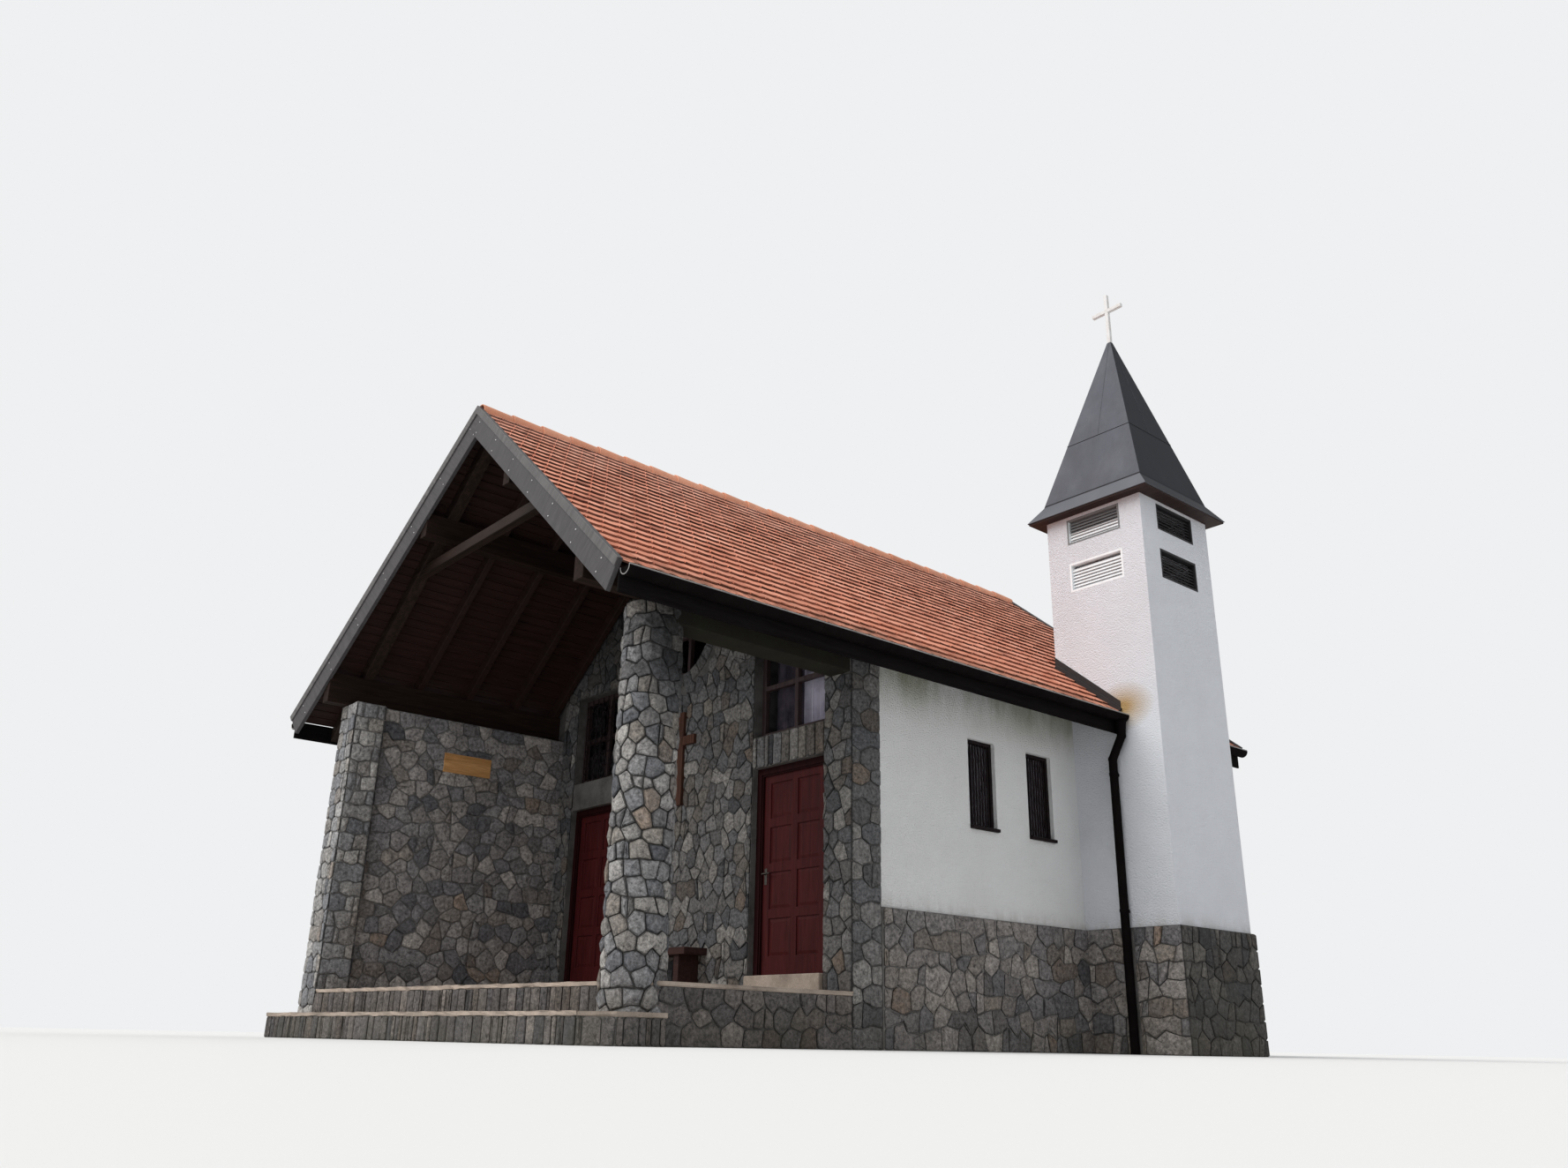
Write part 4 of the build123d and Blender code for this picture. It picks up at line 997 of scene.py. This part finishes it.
roof_mid = (verge_rear + verge_front) / 2
board_sides = []
for side in (-1, 1):
    place = (board_w / 2 + 0.012, side * roof_mid, -board_top - board_t / 2)
    boards = new_box(place, (board_w - 0.002, board_len, board_t - 0.001))
    edit_mode()
    choose(boards, lambda e: abs(e.verts[0].co.y - e.verts[1].co.y) > 1, "EDGE")
    bpy.ops.mesh.bevel(offset=0.006, segments=1, affect="EDGES")
    object_mode()
    row_of(boards, int(slope_len / board_w), (board_w, 0, 0))
    to_slope(boards, side)
    cut_at_verge(0.045, side)
    if side > 0:
        cut_for_tower(boards)
    board_sides.append(boards)
boards = joined("ceiling_boards", board_sides, board_finish)
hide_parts("roof_boards")

# Roof tiles
# Plain clay tiles with rounded tails, laid in double lap with the joints staggered from row to row.
# Salmon-orange faces, sooty tails darkened further with painted shade, scattered brown and black tiles, moss
# in the lowest rows.
tile_w, tile_gauge, tile_thick, tile_drop = 0.183, 0.195, 0.016, 0.021
tile_len = 1.62 * tile_gauge
tail, tile_rows, tile_columns = 0.041, 25, 56
row_start, tower_margin = {-1: 3.72, 1: 6.40}, 0.12
tile_finish, tree, shader = new_finish("clay_tile", 0.85, 0.12)
# The two darkest stops are for the tails: soot and painted shade under each row.
tile_tones = [
    (0.0, (0.040, 0.022, 0.018)),
    (0.03, (0.070, 0.038, 0.030)),
    (0.06, (0.460, 0.170, 0.110)),
    (0.20, (0.660, 0.255, 0.163)),
    (0.40, (0.790, 0.345, 0.230)),
    (0.58, (0.690, 0.280, 0.180)),
    (0.76, (0.850, 0.400, 0.280)),
    (0.90, (0.760, 0.315, 0.205)),
    (1.0, (0.890, 0.440, 0.320)),
]
tones = ramp(tree, face_value(tree, "tile_tone"), tile_tones)
patches = mottling(tree, tones, (0.430, 0.200, 0.140), 1.6, 0.4, 0.2)
baked = aged(tree, patches["Color"], (0.560, 0.205, 0.125), 3.90, 5.60, 0.6, 2.0)
bleached = aged(tree, baked, (0.700, 0.470, 0.390), 7.0, 5.60, 0.4, 2.0)
moss = aged(tree, bleached, (0.045, 0.036, 0.026), 3.80, 4.15, 0.9, 9.0)
cover(tree, shader, moss, patches["Height"], 0.5, 0.005)


def one_tile():
    """Tile with a half-round tail, head dropped under the next row, its lower face at the slope's plane."""
    clear_selection()
    bpy.ops.mesh.primitive_circle_add(vertices=16, radius=tile_w / 2 - 0.0008, fill_type="NGON")
    tile = bpy.context.object
    edit_mode()
    choose(tile, lambda v: v.co.x < -1e-4, "VERT")
    bpy.ops.transform.resize(value=(0, 1, 1), center_override=(0, 0, 0))
    select_all()
    bpy.ops.mesh.remove_doubles(threshold=0.0005)
    bpy.ops.transform.resize(value=(0.45, 1, 1), center_override=(0, 0, 0))
    choose(tile, lambda v: v.co.x < 1e-4, "VERT")
    bpy.ops.transform.translate(value=(-(tile_len - tail), 0, 0))
    choose(tile, lambda v: v.co.x < -0.1 and abs(v.co.y) < tile_w / 2 - 0.003, "VERT")
    if tile.data.total_vert_sel:
        bpy.ops.mesh.dissolve_verts()
    bpy.ops.mesh.select_mode(type="FACE")
    face_outwards()
    bpy.ops.mesh.extrude_region_move(TRANSFORM_OT_translate={"value": (0, 0, tile_thick)})
    face_outwards()
    choose(tile, lambda v: v.co.x < -0.1, "VERT")
    bpy.ops.transform.translate(value=(0, 0, -tile_drop * tile_len / tile_gauge))
    select_all()
    bpy.ops.transform.translate(value=(-tail, 0, -tile_thick - 0.002))
    object_mode()
    return tile


def deep_in_tower(vert):
    """True for what lies well inside the tower's walls."""
    x_in = vert.co.x > tower_wall_low.x + tower_margin
    return x_in and tower_wall_low.y + tower_margin < vert.co.y < tower_wall_high.y - tower_margin


for side, word in ((-1, "left"), (1, "right")):
    tile = one_tile()
    tile_faces = len(tile.data.polygons)
    tails = [f.normal.x > 0.4 for f in tile.data.polygons]
    rows = []
    for start in (0, 1):
        one = tile.copy()
        one.data = tile.data.copy()
        scene.collection.objects.link(one)
        one.location = (slope_len + 0.032 - start * tile_gauge, row_start[side] + start * tile_w / 2, 0)
        pick(one)
        settle()
        row_of(one, tile_columns, (0, -tile_w, 0))
        row_of(one, (tile_rows + 1 - start) // 2, (-2 * tile_gauge, 0, 0))
        tone_faces(one, "tile_tone", 71 + start + side, tile_faces)
        # Tail faces take the darkest tones, soot and painted shade; the other faces spread over the rest.
        for i, face in enumerate(one.data.attributes["tile_tone"].data):
            face.value = 0.02 * face.value if tails[i % tile_faces] else 0.05 + 0.95 * face.value
        rows.append(one)
    bpy.data.objects.remove(tile)
    covering = joined("roof_tiles_" + word + "_laid", rows, tile_finish)
    edit_mode()
    # A few tiles in a hundred have slipped, lifted or shifted by some millimetres.
    for k, (amount, axis) in enumerate(((0.004, 0), (-0.004, 0), (0.003, 2), (-0.003, 1), (0.003, 1))):
        bpy.ops.mesh.select_mode(type="VERT")
        bpy.ops.mesh.select_all(action="DESELECT")
        bpy.ops.mesh.select_random(ratio=0.012, seed=80 + k)
        bpy.ops.mesh.select_linked()
        shift = [0.0, 0.0, 0.0]
        shift[axis] = amount
        bpy.ops.transform.translate(value=shift)
    slice_all((0.02, 0, 0), (-1, 0, 0), clear_outer=True, use_fill=True)
    object_mode()
    to_slope(covering, side)
    cut_at_verge(0.046, side)
    if side > 0:
        edit_mode()
        choose(covering, deep_in_tower, "VERT")
        bpy.ops.mesh.select_linked()
        bpy.ops.mesh.delete(type="VERT")
        object_mode()
    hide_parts("roof_tiles_" + word)

# Ridge tiles
# Half-round clay caps about 0.4 m long, bedded in mortar. Each one's wide front end lies over the
# narrow end of the next.
cap_low, cap_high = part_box("ridge_tiles")
cap_len, cap_lap, cap_r, cap_axis = 0.395, 0.05, 0.108, 6.852
cap_foot = cap_axis - 0.03
cap_run = cap_high.y - cap_low.y
cap_count = int(cap_run / cap_len)
quarter = (math.pi / 2, 0, 0)
clear_selection()
bpy.ops.mesh.primitive_cylinder_add(
    vertices=28, radius=cap_r, depth=cap_len + cap_lap, end_fill_type="NOTHING", rotation=quarter,
    location=(0, cap_low.y + 0.03 + (cap_len + cap_lap) / 2, cap_axis),
)
cap = bpy.context.object
settle()
edit_mode()
slice_all((0, 0, cap_foot), (0, 0, -1), clear_outer=True)
choose(cap, lambda v: v.co.y > cap_low.y + 0.2, "VERT")
bpy.ops.transform.resize(value=(0.86, 1, 0.86), center_override=(0, 0, cap_foot))
face_outwards()
object_mode()
modify(cap, "SOLIDIFY", thickness=0.014, offset=-1)
modify(cap, "BEVEL", width=0.004, limit_method="ANGLE", angle_limit=math.radians(50))
cap_faces = len(cap.data.polygons)
row_of(cap, cap_count, (0, (cap_run - 0.09 - cap_len) / (cap_count - 1), 0))
tone_faces(cap, "tile_tone", 91, cap_faces)
smooth(40)
ridge_finish, tree, shader = new_finish("ridge_clay", 0.8, 0.15)
cap_tones = [(0.0, (0.60, 0.26, 0.155)), (0.5, (0.76, 0.38, 0.25)), (1.0, (0.68, 0.32, 0.20))]
tones = ramp(tree, face_value(tree, "tile_tone"), cap_tones)
patches = mottling(tree, tones, (0.46, 0.24, 0.17), 6.0, 0.4, 0.2)
cover(tree, shader, patches["Color"], patches["Height"], 0.5, 0.006)
ridge = joined("ridge_caps", [cap], ridge_finish)
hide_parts("ridge_tiles")

# Barge boards, trims and fascia
# Wide painted boards over the verge, with a narrow lighter trim along the top edge, fixed with pairs
# of pale screws. The fascia behind the gutters is painted nearly black, as shade under the eaves.
barge_colours = (0.052, 0.049, 0.051), (0.070, 0.066, 0.068)
trim_colours = (0.075, 0.070, 0.070), (0.120, 0.112, 0.112)
# Painted shade: the fascia's colours are nearly black for the shade under the eaves.
fascia_shade_colours = (0.005, 0.004, 0.004), (0.009, 0.008, 0.008)
barge_finish = wood("grey_painted_board", *barge_colours, along_x, slope, 0.55)
trim_finish = wood("grey_painted_trim", *trim_colours, along_x, slope, 0.5)
fascia_finish = wood("fascia_board", *fascia_shade_colours, along_y, 0.0, 0.8, 0.02)
worked("barge_boards", 0.004, barge_finish)
worked("verge_trims", 0.003, trim_finish, 1)
worked("fascia_boards", 0.003, fascia_finish)
zinc = ((0.62, 0.62, 0.62), (0.40, 0.38, 0.36), 60.0, 0.5, 0.1)
screw_finish, tree, shader = new_finish("zinc_screw", 0.4, 0.5, 0.7)
feed(tree, shader, {"Base Color": mottling(tree, *zinc)["Color"]})
clear_selection()
bpy.ops.mesh.primitive_cylinder_add(vertices=10, radius=0.0070, depth=0.005, rotation=quarter)
screw = bpy.context.object
settle()
edit_mode()
choose(screw, lambda f: f.normal.y < -0.9)
for thickness, depth in ((0.0020, 0.0015), (0.002, 0.0), (0.0012, -0.0015)):
    bpy.ops.mesh.inset(thickness=thickness, depth=depth)
object_mode()
screw_first, screw_gap, screw_depths = 0.25, 0.72, (0.12, 0.25)
places = []
for side in (-1, 1):
    for k in range(7):
        for below in screw_depths:
            x, z = on_slope(side, screw_first + k * screw_gap, below)
            places.append(Matrix.Translation((x, verge_front - verge_rake * abs(x) - 0.002, z)))
            places.append(Matrix.Translation((x, verge_rear + 0.002, z)) @ Matrix.Rotation(math.pi, 4, "Z"))
joined("barge_board_screws", repeated(screw, places), screw_finish)

# Gutters and downpipes
# Half-round brown sheet-metal gutters with a rolled front bead and flat strap brackets, and round
# downpipes clamped to the tower and to the left wall.
# Painted shade: the brown sheet is darkened nearly to black for the shade under the eaves; the downpipes and
# brackets share it.
sheet = ((0.0045, 0.0035, 0.0035), (0.009, 0.007, 0.007), 4.0, 0.5, 0.2)
# Painted highlight: the pale sheet of the front bead and end rims stands in for the light along the gutter's
# rim.
highlight_sheet = ((0.270, 0.260, 0.255), (0.130, 0.120, 0.112), 5.0, 0.6, 0.3)
gutter_finish = mottled("brown_sheet", (0.8, 0.02), sheet, (0.25, 0.002))
bead_finish = mottled("bead_painted_highlight", (0.5, 0.3), highlight_sheet, (0.25, 0.002))
for node in ("gutters", "downpipes"):
    worked(node, 0.001, gutter_finish, 1, angle=60)
    smooth(35)
gutter_low, gutter_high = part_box("gutters")
gutter_x, gutter_z, gutter_r, bracket_gap = 3.80, 3.768, 0.075, 0.89
runs = [
    (-1, gutter_low.y, gutter_high.y),
    (1, gutter_low.y, tower_wall_low.y),
    (1, tower_wall_high.y, gutter_high.y),
]
beads = []
for side, y0, y1 in runs:
    clear_selection()
    bpy.ops.mesh.primitive_cylinder_add(
        vertices=12, radius=0.0085, depth=y1 - y0 - 0.006, rotation=quarter,
        location=(side * (gutter_x + gutter_r - 0.009), (y0 + y1) / 2, gutter_z + 0.008),
    )
    bead = bpy.context.object
    settle()
    edit_mode()
    choose(bead, lambda f: abs(f.normal.y) > 0.9)
    bpy.ops.mesh.inset(thickness=0.002, depth=0.002, use_individual=True)
    object_mode()
    smooth(40)
    beads.append(bead)
# Rim of each end cap: half a ring under the bead's height, at both ends of every run.
clear_selection()
bpy.ops.mesh.primitive_torus_add(
    major_radius=gutter_r - 0.0075, minor_radius=0.006, major_segments=24, minor_segments=8, rotation=quarter
)
rim = bpy.context.object
settle()
edit_mode()
slice_all((0, 0, 0.004), (0, 0, 1), clear_outer=True, use_fill=True)
object_mode()
smooth(50)
places = []
for side, y0, y1 in runs:
    for y in (y0 + 0.002, y1 - 0.002):
        places.append(Matrix.Translation((side * gutter_x, y, gutter_z)))
joined("gutter_beads", beads + repeated(rim, places), bead_finish)
# One strap bracket: a flat bar bent under the gutter's round, short of its rims.
clear_selection()
bpy.ops.mesh.primitive_plane_add(size=1, location=(-gutter_r - 0.0015, 0, 0))
strap = bpy.context.object
strap.scale = (0.004, 0.025, 1)
settle()
edit_mode()
select_all()
bpy.ops.mesh.spin(steps=12, angle=math.pi, center=(0, 0, 0), axis=(0, 1, 0))
select_all()
bpy.ops.mesh.remove_doubles(threshold=0.0001)
slice_all((0, 0, -0.027), (0, 0, 1), clear_outer=True, use_fill=True)
face_outwards()
object_mode()
places = []
for side, y0, y1 in runs:
    count = max(1, round((y1 - y0) / bracket_gap))
    flip = Matrix.Rotation(0 if side > 0 else math.pi, 4, "Z")
    for k in range(count):
        y = y0 + (y1 - y0) * (k + 0.5) / count
        places.append(Matrix.Translation((side * gutter_x, y, gutter_z)) @ flip)
joined("gutter_brackets", repeated(strap, places), gutter_finish)

# Belfry louvres
# Timber frames with steep overlapping slats, two on each side of the tower. Front and back are
# painted white, and the two flanks are left dark.
tower_x, tower_y = 3.57, 4.325
louvre_finish, tree, shader = new_finish("louvre_paint", 0.6, 0.2)
patches = mottling(tree, (0.79, 0.82, 0.84), (0.66, 0.68, 0.69), 9.0, 0.4, 0.1)
coat = blend(tree, "MIX", face_value(tree, "dark_slat_share"), patches["Color"], (0.020, 0.019, 0.021))
cover(tree, shader, coat, patches["Height"], 0.3, 0.002)
louvres = worked("tower_louvres", 0.0015, louvre_finish, 1)


upper_band_low, upper_band_high, upper_band_half, flank_from = 6.33, 6.49, 0.365, 0.612


def slat_darkness(face):
    """Full on the flanks, and most of it on the upper slats of the front and back, which are darker."""
    aside = abs(face.center.x - tower_x)
    upper_slat = upper_band_low < face.center.z < upper_band_high and aside < upper_band_half
    return 1.0 if aside > flank_from else 0.8 if upper_slat else 0.0


mark_faces(louvres, "dark_slat_share", slat_darkness)

# Dark boards line the reveals of the flank louvres.
flank_louvres, lining_out, lining_deep, lining_long = ((5.51, 5.90), (6.16, 6.51)), 0.683, 0.052, 0.798
linings = []
for side in (-1, 1):
    for z0, z1 in flank_louvres:
        place = (tower_x + side * lining_out, tower_y, (z0 + z1) / 2)
        lining = new_box(place, (lining_deep, lining_long, z1 - z0 - 0.002))
        edit_mode()
        drop_faces(lining, lambda f: abs(f.normal.x) > 0.9)
        object_mode()
        modify(lining, "SOLIDIFY", thickness=0.012, offset=-1)
        modify(lining, "BEVEL", width=0.002, limit_method="ANGLE")
        linings.append(lining)
lining_finish = wood("bare_louvre_timber", (0.007, 0.006, 0.006), (0.016, 0.013, 0.012), along_y)
joined("flank_louvre_linings", linings, lining_finish)

# Flashing, spire, soffit and cross
# Slate-grey painted sheet metal on boards: a steep pyramid over a flared skirt, folded seams on the
# hips and a lapped seam across the slopes. Stained boards close it underneath, a white steel cross
# stands on top.
seam_z, seam_high, cone_foot, cone_top = 7.712, 0.015, 7.74, 9.2
spire_finish, tree, shader = new_finish("slate_grey_sheet", 0.65, 0.1)
patches = mottling(tree, (0.098, 0.104, 0.122), (0.130, 0.136, 0.156), 1.8, 0.6, 0.1)
skirt = aged(tree, patches["Color"], (0.165, 0.172, 0.192), 6.80, 6.815, 0.85, 1.0)
streaked = aged(tree, skirt, (0.060, 0.060, 0.066), 9.4, 9.5, 0.35, 4.0)
skirt_fold, cone_fold = (6.822, 0.010), (7.711, 0.005)
level = height_above_floor(tree)
folds = [calc(tree, "COMPARE", level, *fold) for fold in (skirt_fold, cone_fold)]
folds = calc(tree, "MAXIMUM", *folds)
creased = blend(tree, "MIX", folds, streaked, (0.016, 0.016, 0.018))
# The right flank's darker coat is painted shade.
coat = blend(tree, "MIX", face_value(tree, "shaded_flank"), creased, (0.010, 0.012, 0.015))
cover(tree, shader, coat, patches["Height"], 0.3, 0.005)
spire = worked("spire", 0.012, spire_finish, 3, angle=5)
edit_mode()


def outer_face(face, z0, z1):
    """True for the outer sheets between two heights."""
    middle = face.calc_center_median()
    away = Vector((middle.x - tower_x, middle.y - tower_y, 0))
    return z0 < middle.z < z1 and away.dot(face.normal) > 0.02


for z in (seam_z, seam_z + seam_high):
    slice_all((0, 0, z), (0, 0, 1))
choose(spire, lambda f: outer_face(f, seam_z + 0.001, seam_z + seam_high - 0.001))
bpy.ops.mesh.extrude_region_shrink_fatten(TRANSFORM_OT_shrink_fatten={"value": 0.004})
for axis in ((1, 0, 0), (0, 1, 0)):
    for shift in (-0.006, 0.006):
        choose(spire, lambda f: outer_face(f, cone_foot, cone_top))
        bpy.ops.mesh.bisect(plane_co=(tower_x + shift, tower_y + shift, 0), plane_no=axis)


def seam_face(face):
    """True for the strips down the middle of each sheet."""
    middle = face.calc_center_median()
    near = min(abs(middle.x - tower_x), abs(middle.y - tower_y))
    return outer_face(face, cone_foot, cone_top) and near < 0.0055 and face.calc_area() < 0.03


choose(spire, seam_face)
if spire.data.total_face_sel:
    bpy.ops.mesh.extrude_region_shrink_fatten(TRANSFORM_OT_shrink_fatten={"value": 0.003})
object_mode()
# Painted shade: the right flank's sheets are darkened, standing in for the dark trees beside it.
mark_faces(spire, "shaded_flank", lambda f: 0.9 if f.normal.x > 0.6 else 0.0)
rusty_sheet = ((0.014, 0.012, 0.013), (0.030, 0.020, 0.015), 6.0, 0.5, 0.2)
flashing_finish = mottled("flashing_sheet", (0.5, 0.3, 0.2), rusty_sheet, (0.3, 0.003))
worked("tower_flashing", 0.0015, flashing_finish, 1)

# Soakers: the sheet turned down between the tiles and the tower's front and back.
soakers = []
near_x, far_x = tower_wall_low.x, eave_x + 0.02
x = (near_x + far_x) / 2
for y in (tower_wall_low.y - 0.014, tower_wall_high.y + 0.014):
    size = ((far_x - near_x) / math.cos(slope), 0.022, 0.075)
    soaker = new_box((x, y, ridge_z - x * slope_tan), size, rotation=(0, slope, 0))
    edit_mode()
    select_all()
    bpy.ops.mesh.bevel(offset=0.003, segments=1, affect="EDGES")
    object_mode()
    soakers.append(soaker)
joined("tower_soakers", soakers, flashing_finish)
soffit_finish = wood("soffit_boards", (0.018, 0.010, 0.009), (0.037, 0.020, 0.018), along_x)
worked("spire_soffit", 0.003, soffit_finish)
white_paint = ((0.66, 0.66, 0.66), (0.42, 0.34, 0.28), 12.0, 0.4, 0.1)
worked("spire_cross", 0.004, mottled("white_steel", (0.45, 0.3), white_paint, (0.2, 0.002)))

# Doors
# Framed and panelled red-brown timber leaves, each with a lever handle on a dark plate, in darker
# frames.
door_colours = (0.036, 0.0055, 0.006), (0.066, 0.0100, 0.0105)
frame_colours = (0.012, 0.0025, 0.003), (0.022, 0.0045, 0.0055)
door_finish = wood("door_timber", *door_colours, along_z, 0.0, 0.5, 0.1)
frame_finish = wood("frame_timber", *frame_colours, along_z, 0.0, 0.6, 0.06)
bronze = ((0.075, 0.070, 0.065), (0.16, 0.14, 0.11), 40.0, 0.5, 0.2)
handle_finish = mottled("handle_metal", (0.35, 0.4, 0.8), bronze, (0.2, 0.001))
worked("door_frames", 0.003, frame_finish)
for word in ("left", "right"):
    worked("door_leaf_" + word, 0.0025, door_finish, 1, "door_" + word)
    worked("door_handles_" + word, 0.0015, handle_finish, 1, "door_" + word)
    smooth(35)

# Windows
# Stained timber frames with four panes over the doors and in the round window, and dark frames with
# close upright bars in the side walls. The left upper window has a wrought grille in front of its
# panes, and a pale curtain hangs behind the right one.
window_finish = wood("window_timber", (0.028, 0.016, 0.017), (0.060, 0.040, 0.040), along_z, 0.0, 0.5)
worked("front_window_frames", 0.004, window_finish)
dark_paint = ((0.008, 0.005, 0.006), (0.018, 0.010, 0.010), 15.0, 0.5, 0.2)
steel_finish = mottled("dark_steel", (0.7, 0.10), dark_paint, (0.3, 0.002))
worked("side_window_frames", 0.002, steel_finish)
worked("side_window_sills", 0.002, steel_finish)

# Upright bars of the side windows: one bar with a chamfered section, repeated.
side_low, side_high, side_wide, side_bars = 2.33, 3.265, 0.38, 8
bar = new_box((0, 0, 0), (0.014, 0.018, side_high - side_low + 0.01))
edit_mode()
choose(bar, lambda e: abs(e.verts[0].co.z - e.verts[1].co.z) > 0.1, "EDGE")
bpy.ops.mesh.bevel(offset=0.003, segments=1, affect="EDGES")
object_mode()
places = []
window_ys, bar_x = (1.830, 2.855, 3.880, 4.905), 2.982
for x, ys in ((bar_x, window_ys[:2]), (-bar_x, window_ys)):
    for y in ys:
        for k in range(side_bars):
            bar_y = y - side_wide / 2 + side_wide * (k + 0.5) / side_bars
            places.append(Matrix.Translation((x, bar_y, (side_low + side_high) / 2)))
joined("side_window_bars", repeated(bar, places), steel_finish)

# Panes: thin, dark and a little see-through, with the dim nave behind them.
glass_finish, tree, shader = new_finish("dark_glass", 0.08, 0.25)
patches = mottling(tree, (0.010, 0.011, 0.013), (0.024, 0.025, 0.028), 1.2, 0.8, 0.05)
feed(tree, shader, {"Base Color": patches["Color"]})
clear_pane = first_of(tree, "BsdfTransparent", {"Color": (0.96, 0.96, 0.98)})
through = first_of(tree, "MixShader", {"Fac": 0.92, 1: shader.outputs[0], 2: clear_pane})
feed(tree, tree.nodes["Material Output"], {"Surface": through})
dress(["window_glass"], glass_finish)

# Wrought grille: wavy upright rods with scrolls between them.
grille_y, grille_low, grille_high = -0.128, 3.27, 4.40
grille_x0, grille_x1 = -2.33, -1.19
grille_tall, grille_wide = grille_high - grille_low, grille_x1 - grille_x0
rods, bends, scroll_rows = 9, 12, 7
clear_selection()
bpy.ops.mesh.primitive_cylinder_add(vertices=8, radius=0.006, depth=grille_tall)
rod = bpy.context.object
edit_mode()
for k in range(1, bends):
    level = grille_tall * (k / bends - 0.5)
    slice_all((0, 0, level), (0, 0, 1))
    choose(rod, lambda v: abs(v.co.z - level) < 0.002, "VERT")
    bpy.ops.transform.translate(value=(0.012 * math.sin(k * 2.1), 0, 0))
object_mode()
smooth(45)
places = []
for k in range(rods):
    x = grille_x0 + grille_wide * (k + 0.5) / rods
    flip = Matrix.Rotation(math.pi * (k % 2), 4, "Z")
    places.append(Matrix.Translation((x, grille_y, (grille_low + grille_high) / 2)) @ flip)
grille = repeated(rod, places)
clear_selection()
bpy.ops.mesh.primitive_torus_add(
    major_radius=0.052, minor_radius=0.0055, major_segments=20, minor_segments=6, rotation=quarter
)
scroll = bpy.context.object
settle()
edit_mode()
slice_all((0, 0, -0.02), (0.25, 0, -1), clear_outer=True, use_fill=True)
object_mode()
smooth(45)
rng = random.Random(101)
places = []
for k in range(rods - 1):
    x = grille_x0 + grille_wide * (k + 1) / rods
    for row in range(scroll_rows):
        z = grille_low + 0.08 + 0.155 * row + rng.uniform(-0.02, 0.02)
        spin = Matrix.Rotation(rng.choice((0, math.pi)) + rng.uniform(-0.5, 0.5), 4, "Y")
        places.append(Matrix.Translation((x, grille_y - 0.004, z)) @ spin)
grille += repeated(scroll, places)
joined("upper_window_grille", grille, steel_finish)

# Curtains behind the right upper window: a dim and a light cloth in upright folds.
curtain_steps, curtain_foot = 64, 3.30


def hang_curtain(name, x0, x1, y, z1, light, shade):
    """Cloth between two places, its folds pushed in and out of one upright grid."""
    tall = z1 - curtain_foot
    clear_selection()
    bpy.ops.mesh.primitive_grid_add(
        x_subdivisions=curtain_steps, y_subdivisions=1, size=1, rotation=quarter,
        location=((x0 + x1) / 2, y, (curtain_foot + z1) / 2),
    )
    curtain = bpy.context.object
    curtain.scale = (x1 - x0, tall, 1)
    settle()
    edit_mode()
    for k in range(curtain_steps + 1):
        x = x0 + (x1 - x0) * k / curtain_steps
        choose(curtain, lambda v: abs(v.co.x - x) < 0.001, "VERT")
        fold = 0.020 * math.sin(k * 1.35) + 0.008 * math.sin(k * 0.61)
        bpy.ops.transform.translate(value=(0, fold, 0))
    object_mode()
    modify(curtain, "SOLIDIFY", thickness=0.002)
    smooth(60)
    finish, tree, shader = new_finish(name, 0.95, 0.1)
    feed(tree, shader, {"Base Color": mottling(tree, light, shade, 4.0, 0.8, 0.1)["Color"]})
    joined(name, [curtain], finish)


hang_curtain("dim_curtain", 1.52, 2.08, 0.09, 4.40, (0.170, 0.145, 0.175), (0.050, 0.043, 0.055))
hang_curtain("light_curtain", 2.03, 2.60, 0.05, 4.02, (0.86, 0.83, 0.90), (0.50, 0.46, 0.55))

# Cross on the front wall, plaque and bench
# Plain timber pieces fixed to the masonry: a stained cross between the doors, a bare ochre board on
# the porch wall and a bench on two legs.
cross_wood = wood("wall_cross_timber", (0.032, 0.014, 0.010), (0.095, 0.042, 0.027), along_z)
worked("wall_cross", 0.005, cross_wood)
plaque_wood = wood("plaque_timber", (0.410, 0.205, 0.072), (0.590, 0.320, 0.130), (8, 1.2, 16))
worked("plaque", 0.004, plaque_wood)
bench_wood = wood("bench_timber", (0.022, 0.011, 0.010), (0.048, 0.022, 0.019), along_x)
worked("porch_bench", 0.005, bench_wood)
